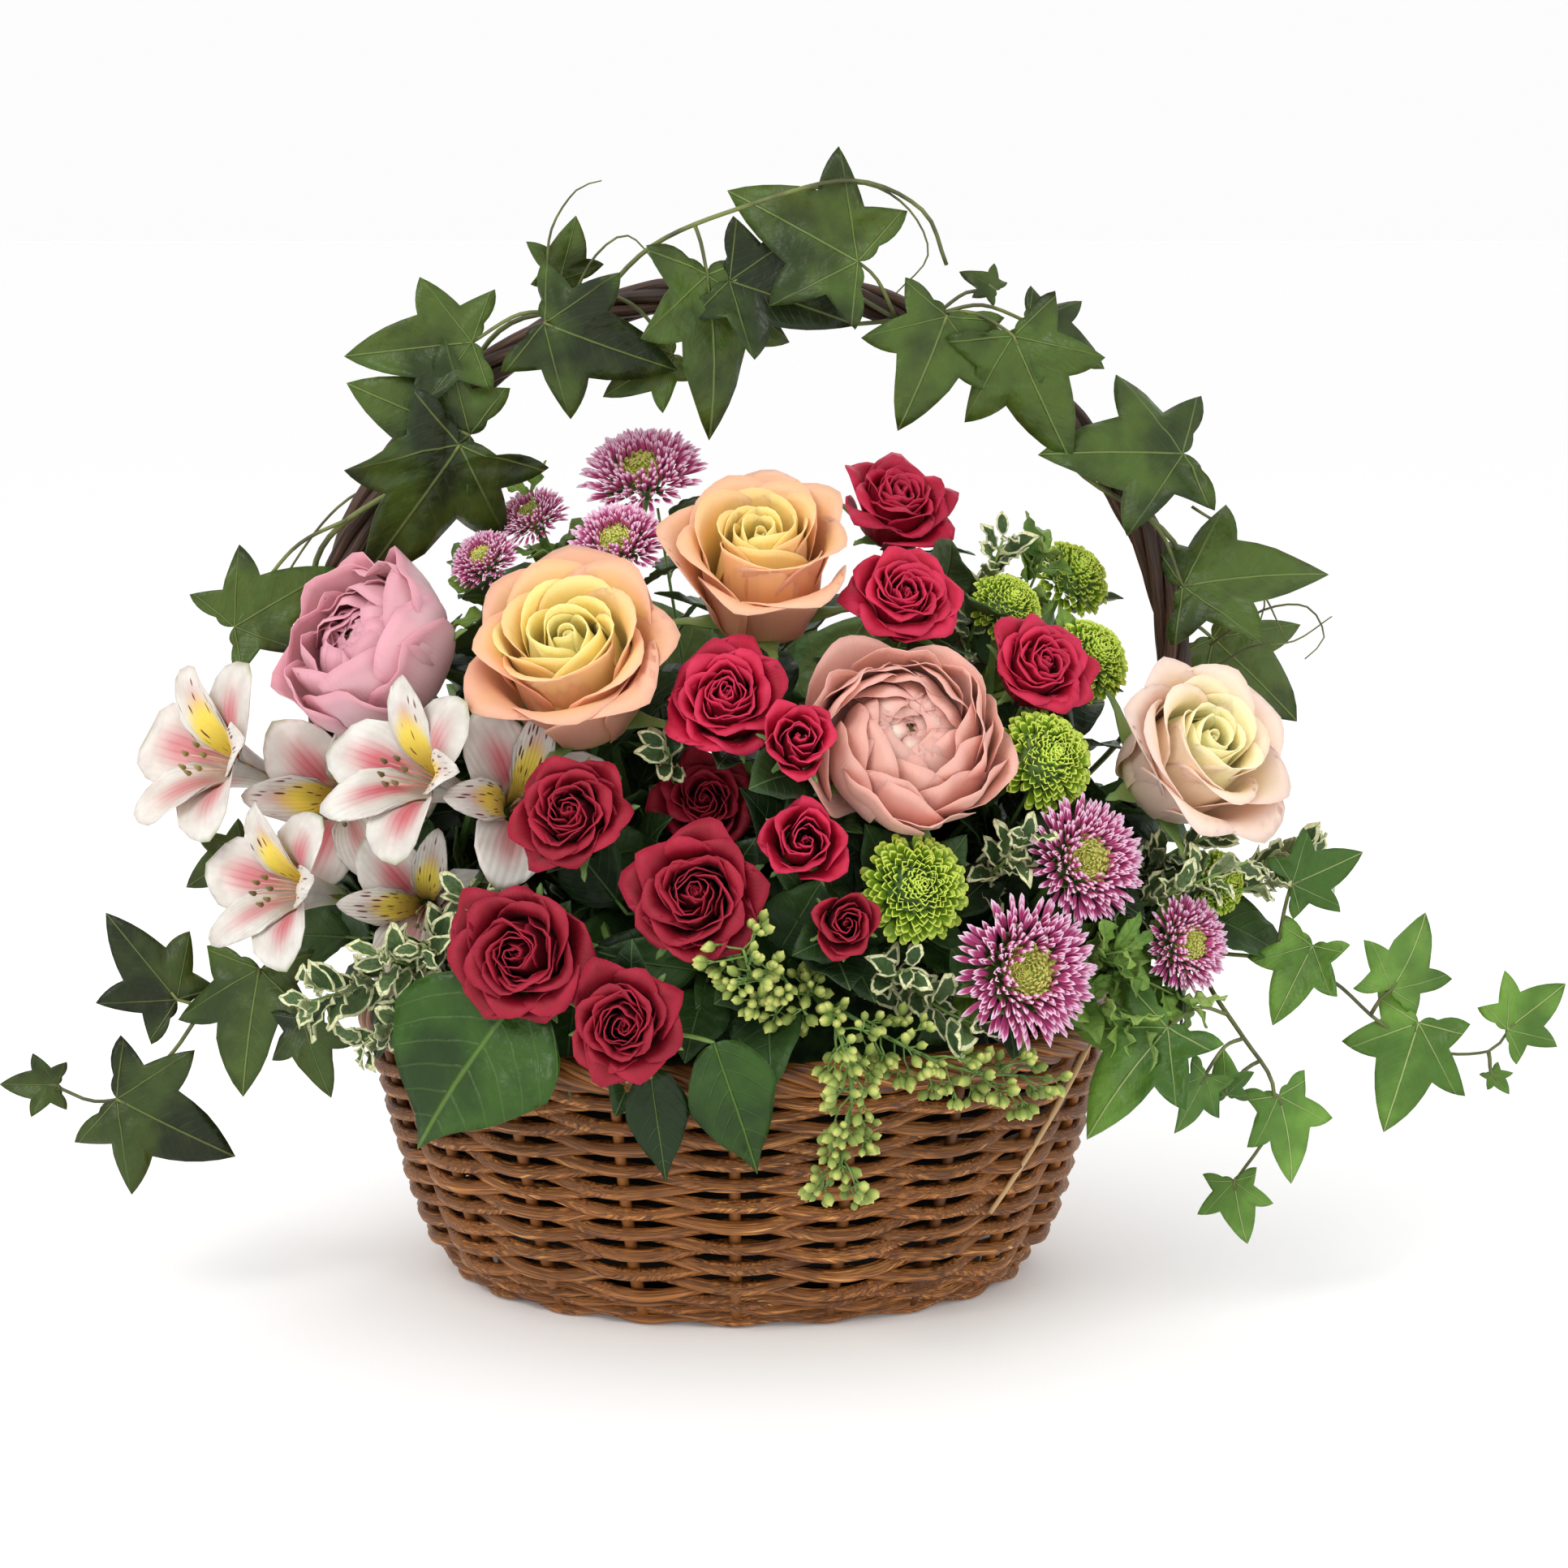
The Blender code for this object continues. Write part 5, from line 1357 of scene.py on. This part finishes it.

# %% [markdown]
# ## Ivy
# Two vines wind up the handle and two trail over the ends. Their courses and the place of every
# leaf are given in millimetres, because they are the outline that one sees first.

# %% Courses and leaves, in millimetres
HANDLE_LEAVES_LEFT = (
    ((-84, -15, 274), (-122, -20, 290)),
    ((-87, -18, 271), (-119, -10, 227), (0.3, -1, 0.1)),
    ((-83, -13, 303), (-123, -17, 299)),
    ((-60, -16, 309), (-20, -22, 294)),
    ((-56, -4, 322), (-50, -4, 342)),
    ((-20, -9, 299), (-43, -8, 286)),
    ((-9, -16, 324), (-3, -25, 275)),
    ((-160, -13, 213), (-128, -12, 232)),
)
HANDLE_LEAVES_RIGHT = (
    ((38, -18, 328), (-3, -14, 351), (0, -1, 0.45)),
    ((-2, -14, 322), (38, -16, 309)),
    ((66, -14, 311), (52, -22, 276)),
    ((87, -15, 305), (104, -22, 266)),
    ((92, -8, 309), (117, -10, 296)),
    ((141, -13, 268), (96, -20, 270)),
    ((142, -12, 226), (188, -14, 233)),
    ((155, 13, 206), (184, 9, 180)),
    ((82, -3, 319), (72, -5, 326)),
)
TRAIL_LEFT = ((-62, 0, 112), (-110, -20, 116), (-148, -40, 105), (-166, -45, 97), (-177, -49, 83),
              (-190, -50, 70), (-203, -46, 66), (-214, -45, 70))
TRAIL_LEFT_LEAVES = (
    ((-176, -46, 99), (-197, -48, 127)),
    ((-195, -51, 68), (-159, -57, 51)),
    ((-215, -45, 71), (-233, -47, 72)),
    ((-149, -51, 110), (-155, -62, 72)),
    ((-134, -64, 97), (-126, -72, 74)),
    ((-158, -20, 142), (-177, -22, 130)),
)
TRAIL_RIGHT = ((62, 12, 112), (110, -8, 114), (145, -33, 112), (170, -42, 111), (188, -41, 104),
               (204, -40, 90), (222, -37, 80), (240, -33, 79), (246, -32, 85))
TRAIL_RIGHT_LOWER = ((145, -33, 112), (149, -52, 103), (158, -60, 90), (167, -62, 76),
                     (166, -61, 60), (157, -60, 45))
TRAIL_RIGHT_LEAVES = (
    ((174, -46, 136), (196, -47, 146)),
    ((181, -45, 116), (168, -51, 92)),
    ((207, -41, 101), (219, -43, 124)),
    ((216, -40, 90), (205, -47, 56)),
    ((246, -32, 86), (264, -33, 101)),
    ((241, -33, 72), (247, -34, 65)),
    ((132, -80, 98), (105, -92, 70)),
    ((144, -76, 82), (135, -84, 66)),
    ((152, -68, 74), (150, -71, 89)),
    ((169, -62, 72), (176, -67, 45)),
    ((156, -60, 44), (159, -64, 24)),
)
LOOSE_VINES = {  # thin shoots that leave the vine and end free
    "left": (((-106, 6, 262), (-128, 0, 250), (-146, -4, 226), (-160, -8, 196), (-172, -10, 176)),
             ((-60, -6, 322), (-58, -8, 338), (-50, -10, 350), (-42, -10, 353)),
             ((-52, -8, 316), (-44, -10, 330), (-34, -8, 336), (-24, -6, 326))),
    "right": (((20, -14, 350), (40, -16, 352), (54, -16, 344), (60, -14, 330), (50, -12, 318)),
              ((146, 2, 250), (160, 4, 240), (170, 2, 222), (166, 0, 206)),
              ((150, -6, 238), (166, -8, 226), (176, -6, 208)),
              ((152, -4, 206), (168, -10, 218), (182, -10, 219), (188, -8, 209), (182, -8, 202)),
              ((150, -4, 196), (164, -10, 206), (178, -10, 208), (190, -10, 216))),
}
TWINE_RADIUS, TWINE_PITCH = 8.5, 95
IVY_FACE = (0, -1, 0.15)  # the way that a leaf looks unless it is turned


def twining(start, end):
    """Points of a vine that winds round the handle between two places on its arch, in degrees."""
    line, travelled, before = [], 0.0, handle_point(start)
    for degrees in np.linspace(start, end, 34):
        here = handle_point(degrees)
        travelled += (here - before).length
        before = here
        turn = math.radians(degrees)
        outwards = Vector((ARCH_RISE * math.cos(turn), 0, HANDLE_HALF_SPAN * math.sin(turn))).normalized()
        wind = math.tau * travelled / TWINE_PITCH
        line.append(here + (outwards * math.sin(wind) + Vector((0, 1, 0)) * math.cos(wind)) * TWINE_RADIUS)
    return line


def ivy(name, chance, lines, leaves, material, node, radius=1.2, loose=()):
    """Vines, stalks and leaves as one piece that stands for a node."""
    skin = Skin()
    for line in lines:
        add_twig(skin, line, radius, tip=0.55, sides=8)
    for points in loose:
        add_twig(skin, smooth_line(points, 4), 0.55, tip=0.4)
    points = [point for line in lines for point in line]
    for base, tip, *turned in leaves:
        add_leaf(skin, chance, base, tip, turned[0] if turned else IVY_FACE, chance.uniform(0.8, 0.96),
                 chance.uniform(-1, 1), **IVY_LEAF)
        add_stalk(skin, points, base, tip)
    settle(skin.piece(name, material, VINE_BARK), "ivy_leaf", node)


# %% Grow the ivy
FROM_FOAM_LEFT = ((-40, 24, 112), (-80, 32, 132), (-114, 20, 166))
FROM_FOAM_RIGHT = ((44, 24, 112), (92, 30, 138), (126, 18, 172))
OVER_THE_TOP = ((-26, -13, 333), (6, -20, 346), (36, -20, 353), (58, -15, 344), (66, -10, 327))
left = twining(173, 112)
left_vine = [*smooth_line((*FROM_FOAM_LEFT, left[0]), 5)[:-1], *left,
             *smooth_line((left[-1], *OVER_THE_TOP), 5)[1:]]
ivy("ivy_on_left_handle", chance_for(60), [left_vine], HANDLE_LEAVES_LEFT, IVY, "ivy_handle_left",
    loose=LOOSE_VINES["left"])
right = twining(7, 84)
right_vine = [*smooth_line((*FROM_FOAM_RIGHT, right[0]), 5)[:-1], *right]
ivy("ivy_on_right_handle", chance_for(61), [right_vine], HANDLE_LEAVES_RIGHT, IVY, "ivy_handle_right",
    loose=LOOSE_VINES["right"])
ivy("ivy_over_left_end", chance_for(62), [smooth_line(TRAIL_LEFT, 4)], TRAIL_LEFT_LEAVES, IVY,
    "ivy_trail_left", radius=1.0)
ivy("ivy_over_right_end", chance_for(63), [smooth_line(TRAIL_RIGHT, 4), smooth_line(TRAIL_RIGHT_LOWER, 4)],
    TRAIL_RIGHT_LEAVES, YOUNG_IVY, "ivy_trail_right", radius=0.9)

# %% [markdown]
# ## Broad leaves and small sprigs
# Salal leaves are broad, glossy and plain green. Pittosporum leaves are small, wavy and edged with
# cream, in pairs and whorls along thin twigs. Sprigs of them fill the gaps between the blooms.

# %% Salal
SALAL_FRONT = (((-24, -72, 104), (-31, -90, 96), (-33, -98, 95)),)
SALAL_FRONT_LEAVES = (((-63, -95, 114), (-98, -101, 66), 1.2), ((-25, -106, 92), (-20, -111, 58), 0.8),
                      ((-6, -106, 100), (8, -110, 60), 0.9))
SALAL_BACK = (((0, 36, 116), (0, 48, 124), (3, 57, 150), (5, 61, 178)),
              ((0, 48, 124), (-34, 57, 132), (-64, 60, 150)), ((1, 50, 126), (33, 57, 133), (64, 60, 151)))
SALAL_BACK_LEAVES = (
    ((6, 63, 180), (12, 70, 232)), ((-8, 61, 162), (-36, 67, 214)), ((14, 61, 158), (44, 68, 208)),
    ((-64, 61, 152), (-100, 67, 184)), ((-40, 61, 141), (-62, 72, 188)), ((-30, 64, 127), (-64, 94, 130)),
    ((64, 61, 152), (101, 66, 181)), ((40, 61, 141), (68, 72, 190)), ((30, 64, 127), (66, 94, 128)),
    ((-3, 66, 122), (-10, 106, 119)),
)


def salal(name, chance, shoots, leaves, kind, face, node):
    """Shoots with broad leaves as one piece that stands for a node."""
    skin = Skin()
    lines = [smooth_line(points, 5) for points in shoots]
    for line in lines:
        add_twig(skin, line, 1.3, sides=8)
    points = [point for line in lines for point in line]
    for base, tip, *wide in leaves:
        add_leaf(skin, chance, base, tip, face, wide[0] if wide else 1.1, chance.uniform(-1, 1), **kind)
        add_stalk(skin, points, base, tip, 0.9)
    settle(skin.piece(name, SALAL, STEM_GREEN), "salal_leaf", node)


salal("salal_at_front", chance_for(70), SALAL_FRONT, SALAL_FRONT_LEAVES, POINTED_SALAL_LEAF, (0, -1, 0.3),
      "salal_front")
salal("salal_at_back", chance_for(71), SALAL_BACK, SALAL_BACK_LEAVES, SALAL_LEAF, (0, 1, 0.3), "salal_back")


# %% Pittosporum
def sprig(skin, chance, points, leaf_length=15, spacing=4.5):
    """A twig in millimetres with small leaves in a spiral all along it."""
    line = smooth_line(points, spacing)
    add_twig(skin, line, 0.8, tip=0.5)
    for step in range(1, len(line)):
        ahead = (line[step] - line[step - 1]).normalized()
        side = ahead.orthogonal().normalized()
        for pair in range(2):
            turn = step * GOLDEN_ANGLE + pair * math.pi + chance.uniform(-0.4, 0.4)
            out = side.copy()
            out.rotate(Matrix.Rotation(turn, 3, ahead))
            lean = chance.uniform(0.5, 1.1)
            direction = (ahead * math.cos(lean) + out * math.sin(lean)).normalized()
            long = leaf_length * chance.uniform(0.7, 1.1) * (0.8 if step == len(line) - 1 else 1)
            base = line[step] + direction * 1.0
            if cuts_a_bloom((base, base + direction * long * 0.5, base + direction * long)):
                continue
            face = ahead * 0.8 - out * 0.2 + Vector((0, -0.5, 0.3))
            add_leaf(skin, chance, base, base + direction * long, face, chance.uniform(0.75, 1.05),
                     chance.uniform(-1, 1), **SMALL_LEAF)


SPRIGS = {  # a main twig, a side twig and the length of the side twig's leaves
    "left": (((-60, -30, 110), (-84, -52, 112), (-106, -74, 112), (-128, -86, 108)),
             ((-84, -52, 112), (-96, -74, 116), (-106, -88, 122)), 13),
    "right": (((74, -4, 116), (110, -16, 124), (150, -24, 133), (182, -30, 142)),
              ((110, -16, 124), (132, -34, 140), (146, -44, 150)), 14),
}
for number, (side, (main_twig, side_twig, leaf_length)) in enumerate(SPRIGS.items()):
    skin = Skin()
    sprig(skin, chance_for(80 + 2 * number), main_twig)
    sprig(skin, chance_for(81 + 2 * number), side_twig, leaf_length)
    settle(skin.piece(f"cream_sprig_{side}", CREAM_EDGED, STEM_GREEN), "cream_edged_leaf",
           f"pittosporum_{side}")
GAP_SPRIGS = (
    ((-56, -40, 118), (-72, -68, 132), (-80, -86, 140)),
    ((-14, -40, 150), (-19, -62, 172), (-20, -76, 184)),
    ((70, 2, 190), (78, -14, 222), (84, -22, 242)),
    ((70, -50, 130), (80, -72, 146), (88, -86, 158)),
    ((36, -70, 106), (46, -92, 116), (52, -104, 122)),
    ((112, -24, 120), (134, -36, 142), (148, -48, 152)),
    ((40, -60, 118), (60, -90, 108), (72, -100, 104)),
    ((110, -40, 120), (136, -58, 136), (158, -60, 146)),
    ((120, -36, 122), (150, -46, 132), (176, -42, 138)),
    ((-72, -42, 112), (-86, -66, 122), (-94, -86, 124)),
    ((-66, -44, 112), (-92, -74, 104), (-112, -86, 96)),
    ((-60, -30, 112), (-80, -58, 122), (-92, -72, 120)),
)
skin = Skin()
for number, points in enumerate(GAP_SPRIGS):
    sprig(skin, chance_for(84 + number), points, 13, 5)
settle(skin.piece("cream_sprigs_between_blooms", CREAM_EDGED, STEM_GREEN), "cream_edged_leaf")

# %% [markdown]
# ## Seeded eucalyptus
# The seed heads hang in loose panicles. Each shoot carries side stalks, and each stalk ends in a few
# small pods. The stalks are tubes. The pods are one small shape that Geometry Nodes set on the ends
# of the stalks, each turned to follow its own.

# %% Stalks and pods
EUCALYPTUS_SHOOTS = (
    ((22, -70, 108), (24, -86, 110), (14, -100, 115), (6, -110, 121), (3, -113, 130)),
    ((24, -86, 110), (31, -106, 104), (35, -113, 86), (31, -114, 62)),
    ((24, -86, 110), (48, -100, 99), (68, -98, 90), (88, -92, 86)),
)


def build_pod_tree():
    tree = Layout("pods on stalks", Pod=bpy.types.Object, Size=float, Material=bpy.types.Material)
    index = tree.node("GeometryNodeInputIndex").outputs[0]
    points = tree.node("GeometryNodeMeshToPoints", {0: tree.given("Geometry")}).outputs[0]
    aim = tree.stored("aim", "FLOAT_VECTOR")
    turn = tree.node("FunctionNodeAlignRotationToVector", {"Vector": aim}, axis="Z").outputs[0]
    chance = tree.chance(0.75, 1.2, index, 3)
    size = tree.times(tree.given("Size"), chance)
    points = tree.store(points, "tone", tree.minus(tree.times(chance, 4.0), 3.9))
    tree.end(tree.copies(points, "Pod", turn, tree.vector(size, size, size)))
    return tree


def pod_pattern():
    """A small top shape one unit wide, pointed where the bud cap sits."""
    rings = ((0.18, 0.0), (0.38, 0.25), (0.5, 0.62), (0.44, 0.92), (0.2, 1.12), (0.05, 1.3))
    sides, tall = 7, rings[-1][1]
    points = turned_points(rings, sides)
    skin = Skin()
    skin.add(points, ring_faces(len(rings), sides), np.stack([points[:, 0], points[:, 2] / tall], -1))
    return skin.piece("pod_pattern")


# %% Grow the seed heads
POD = floret_finish("eucalyptus_pod", tint(136, 156, 66), tint(162, 178, 80), tint(204, 206, 112), 0.5)
BARE_STEPS, STALKS_A_STEP, PODS_A_STALK = 6, 2, 4
skin, ends, aims = Skin(), [], []
chance = chance_for(90)
for points in EUCALYPTUS_SHOOTS:
    line = smooth_line(points, 2.6)
    add_twig(skin, line, 0.9, tip=0.5, finish=0)
    for step in range(BARE_STEPS, len(line)):
        ahead = (line[step] - line[step - 1]).normalized()
        for stalk in range(STALKS_A_STEP):
            out = ahead.orthogonal().normalized()
            turn = step * GOLDEN_ANGLE + stalk * 2.6 + chance.uniform(-0.4, 0.4)
            out.rotate(Matrix.Rotation(turn, 3, ahead))
            if out.y > 0.75:  # it would grow back into the blooms
                continue
            lean = chance.uniform(0.6, 1.2)
            direction = (ahead * math.cos(lean) + out * math.sin(lean) + Vector((0, 0, -0.25))).normalized()
            reach = chance.uniform(5, 10)
            fork = line[step] + direction * reach
            bow = line[step] + direction * reach * 0.5 + out
            add_twig(skin, (line[step], bow, fork), 0.4, tip=0.8, finish=0, sides=4)
            for _ in range(PODS_A_STALK):
                spread = Vector(chance.normal(0, 0.6, 3))
                aim = (direction + spread).normalized()
                end = fork + aim * chance.uniform(1.5, 3.5)
                add_twig(skin, (fork, end), 0.3, tip=1.0, finish=0, sides=4)
                ends.append(tuple(end * MM))
                aims.append(tuple(aim))
settle(skin.piece("eucalyptus_stalks", STEM_GREEN), "eucalyptus_berry")
spots = bpy.data.meshes.new("stalk_ends")
spots.from_pydata(ends, [], [])
spots.attributes.new("aim", "FLOAT_VECTOR", "POINT").data.foreach_set("vector", np.array(aims).ravel())
pod = pod_pattern()
pods = build_pod_tree().make("eucalyptus_pods", spots, Pod=pod, Size=3.0 * MM, Material=POD)
bpy.data.objects.remove(pod, do_unlink=True)
settle(place(bpy.data.objects.new("eucalyptus_pods", pods)), "eucalyptus_berry", "seeded_eucalyptus")

# %% [markdown]
# ## Leaves between the blooms
# No foam and few stems show between the flowers, because their own leaves and some leafy twigs fill
# every gap. Each bloom gets a twig that starts in the foam beside its stem and stops behind its cup,
# with leaves in a spiral. A leaf that would cut into a cup tries other directions, or isn't grown.

# %% A leafy twig
ATTEMPTS = 8
MIDDLE_OF_BLOOMS = Vector((0, 10, 90))


def leafy_twig(skin, chance, foot, top, leaves, length=34, first=0.4, spread=(0.7, 1.25)):
    """A twig with leaves that avoid the blooms, in millimetres; returns how many leaves grew."""
    foot, top = Vector(foot), Vector(top)
    bow = (foot + top) / 2 + Vector(chance.normal(0, 3, 3))
    line = smooth_line((foot, bow, top), 6)
    add_twig(skin, line, 0.8)
    grown = 0
    for number in range(leaves):
        share = first + (0.98 - first) * (number + 0.5) / leaves
        place_on = line[min(int(share * len(line)), len(line) - 1)]
        ahead = (top - foot).normalized()
        for attempt in range(ATTEMPTS):
            out = ahead.orthogonal().normalized()
            turn = (number + attempt * 0.37) * GOLDEN_ANGLE + chance.uniform(-0.4, 0.4)
            out.rotate(Matrix.Rotation(turn, 3, ahead))
            lean = chance.uniform(*spread)
            direction = (ahead * math.cos(lean) + out * math.sin(lean)).normalized()
            long = length * chance.uniform(0.75, 1.15) * (1 - 0.07 * attempt)
            base = place_on + direction * 4
            tip = base + direction * long
            face = ahead + (tip - MIDDLE_OF_BLOOMS).normalized() * 0.9 - out * 0.15
            across = direction.cross(face).normalized() * long * 0.26
            middle = base + direction * long * 0.5
            if not cuts_a_bloom((base, middle, tip, middle + across, middle - across)):
                add_leaf(skin, chance, base, tip, face, chance.uniform(0.9, 1.2), chance.uniform(-1, 1),
                         **TWIG_LEAF)
                add_twig(skin, (place_on, base + direction * 1.5), 0.6, tip=0.9, sides=5)
                grown += 1
                break
    return grown


# %% Fill behind the blooms
LARGE_BLOOM = 28 * MM
skin, grown = Skin(), 0
for number, spot in enumerate(BLOOM_SPOTS):
    large = spot.radius > LARGE_BLOOM
    base = spot.base / MM
    foot = Vector((base.x * 0.5, base.y * 0.5 + 6, 108)) + Vector((6, 4, 0))
    top = base - Vector(spot.axis) * 3 + Vector((3, 3, -2))
    grown += leafy_twig(skin, chance_for(120 + number), foot, top, 7 if large else 5, 34 if large else 27)
print(grown, "leaves behind", len(BLOOM_SPOTS), "blooms")
settle(skin.piece("leaves_behind_blooms", FLOWER_LEAF, STEM_GREEN), "salal_leaf")

# %% Fill round the rim
skin, grown = Skin(), 0
RIM_TWIGS, INNER_TWIGS = 26, 16
for number in range(RIM_TWIGS):
    chance = chance_for(170 + number)
    turn = math.tau * (number + chance.uniform(-0.25, 0.25)) / RIM_TWIGS
    foot = Vector((58 * math.cos(turn), 40 * math.sin(turn) - 2, 108))
    reach = chance.uniform(0.96, 1.1)
    top = Vector((98 * math.cos(turn) * reach, 82 * math.sin(turn) * reach - 2, chance.uniform(108, 136)))
    leaves = 7 if math.sin(turn) > 0.2 else 5  # more at the back, where no blooms hide the foam
    grown += leafy_twig(skin, chance, foot, top, leaves, first=0.3, spread=(0.5, 1.2))
for number in range(INNER_TWIGS):
    chance = chance_for(200 + number)
    turn = math.tau * (number + chance.uniform(-0.25, 0.25)) / INNER_TWIGS
    foot = Vector((34 * math.cos(turn), 26 * math.sin(turn), 110))
    top = Vector((70 * math.cos(turn), 52 * math.sin(turn), chance.uniform(148, 176)))
    grown += leafy_twig(skin, chance, foot, top, 6, first=0.25, spread=(0.5, 1.2))
SIDE_TWIGS = (  # foot and top
    ((-56, -16, 112), (-118, -42, 118)), ((-50, -30, 112), (-98, -66, 112)),
    ((-60, 0, 112), (-112, -22, 150)), ((-58, 6, 114), (-104, -6, 184)),
    ((-54, -20, 112), (-104, -50, 140)), ((-50, 4, 116), (-78, 0, 206)),
    ((58, 0, 114), (112, -10, 160)), ((54, 6, 114), (96, -6, 194)),
    ((-30, 10, 118), (-54, 4, 226)), ((40, 8, 118), (66, -2, 224)),
    ((60, -24, 112), (120, -52, 130)), ((62, -10, 112), (140, -34, 128)),
)
for number, (foot, top) in enumerate(SIDE_TWIGS):
    grown += leafy_twig(skin, chance_for(250 + number), foot, top, 8, first=0.35, spread=(0.5, 1.3))
print(grown, "leaves round the rim")
settle(skin.piece("leaves_round_rim", FLOWER_LEAF, STEM_GREEN), "salal_leaf")

# %% Aster foliage
ASTER_LEAF = leaf_finish("aster_leaf", tint(84, 122, 44), tint(130, 164, 70), tint(160, 186, 110),
                         tint(150, 176, 100), slant=0.22, roughness=0.5, vein_share=0.3)
ASTER_TWIGS = (
    ((70, -46, 112), (104, -70, 118), (118, -80, 122)),
    ((60, -50, 110), (84, -84, 112), (92, -98, 110)),
    ((84, -30, 114), (128, -52, 120), (146, -58, 128)),
    ((72, -50, 110), (106, -74, 106), (124, -78, 98)),
    ((78, -44, 112), (118, -66, 112), (138, -66, 104)),
    ((60, 4, 150), (84, 2, 200), (98, -4, 234)),
    ((56, -4, 150), (88, -12, 190), (108, -22, 206)),
    ((-30, 10, 180), (-58, 4, 232), (-66, -2, 254)),
    ((-40, 0, 170), (-74, -6, 216), (-86, -12, 232)),
)
skin = Skin()
for number, points in enumerate(ASTER_TWIGS):
    sprig(skin, chance_for(230 + number), points, 17)
settle(skin.piece("aster_foliage", ASTER_LEAF, STEM_GREEN), "green_stem")

# %% [markdown]
# ## Stage
# A plain pale floor, one big soft lamp high on the left, a weaker one on the right, and an even
# white sky, so that shadows stay soft and colours clean.

# %% Floor, lights and camera
FLOOR_HALF = 40.0
CORNERS = ((-1, -1), (1, -1), (1, 1), (-1, 1))
floor_mesh = bpy.data.meshes.new("floor")
floor_mesh.from_pydata([(x * FLOOR_HALF, y * FLOOR_HALF, 0) for x, y in CORNERS], [], [(0, 1, 2, 3)])
floor = place(bpy.data.objects.new("floor", floor_mesh))
paper = Finish("floor_paper", 0.9, emission_strength=0.1)
paper.shader.inputs["Emission Color"].default_value = (1, 1, 1, 1)
floor_mesh.materials.append(paper.done((0.9, 0.9, 0.9, 1)))

AIM = Vector((15, 0, 160)) * MM


def aim_at_middle(name, data, place_at):
    """Puts a lamp or a camera somewhere and turns it to the middle of the basket."""
    thing = bpy.data.objects.new(name, data)
    thing.location = place_at
    thing.rotation_euler = (AIM - thing.location).to_track_quat("-Z", "Y").to_euler()
    bpy.context.scene.collection.objects.link(thing)
    return thing


def soft_lamp(name, place_at, size, energy, colour=(1, 1, 1)):
    data = bpy.data.lights.new(name, "AREA")
    data.size, data.energy, data.color = size, energy, colour
    aim_at_middle(name, data, place_at)


soft_lamp("key", Vector((-0.7, -0.9, 1.15)), 0.7, 8.0, (1.0, 0.98, 0.95))
soft_lamp("fill", Vector((1.1, -0.7, 0.6)), 0.9, 2.0)
soft_lamp("back", Vector((0.4, 1.0, 0.9)), 0.9, 2.5)

world = bpy.data.worlds.new("studio")
world.use_nodes = True
sky = world.node_tree.nodes["Background"]
sky.inputs["Color"].default_value = (1, 1, 1, 1)
sky.inputs["Strength"].default_value = 0.98
bpy.context.scene.world = world
bpy.context.scene.view_settings.view_transform = "Standard"

DISTANCE, HEIGHT_ANGLE = 1.1, math.radians(9.6)
camera_data = bpy.data.cameras.new("camera")
camera_data.lens, camera_data.sensor_width, camera_data.clip_start = 77.7, 36, 0.05
camera_place = AIM + Vector((0, -math.cos(HEIGHT_ANGLE), math.sin(HEIGHT_ANGLE))) * DISTANCE
bpy.context.scene.camera = aim_at_middle("camera", camera_data, camera_place)

# %% [markdown]
# The stems, the foam, the liner and the base stay the plain solids of the frame and get a better
# finish.

# %% Finish
FOAM = green_finish("wet_foam", tint(58, 88, 44), tint(30, 54, 26), 0.9, 200.0)
LINER = green_finish("liner_film", tint(26, 34, 26), tint(14, 20, 14), 0.35, 20.0)
finishes = {node: STEM_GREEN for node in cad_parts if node.endswith("stem")}
finishes.update(floral_foam=FOAM, liner=LINER, basket_base=DARK_WILLOW)
for node, material in finishes.items():
    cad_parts[node].material_slots[0].material = material
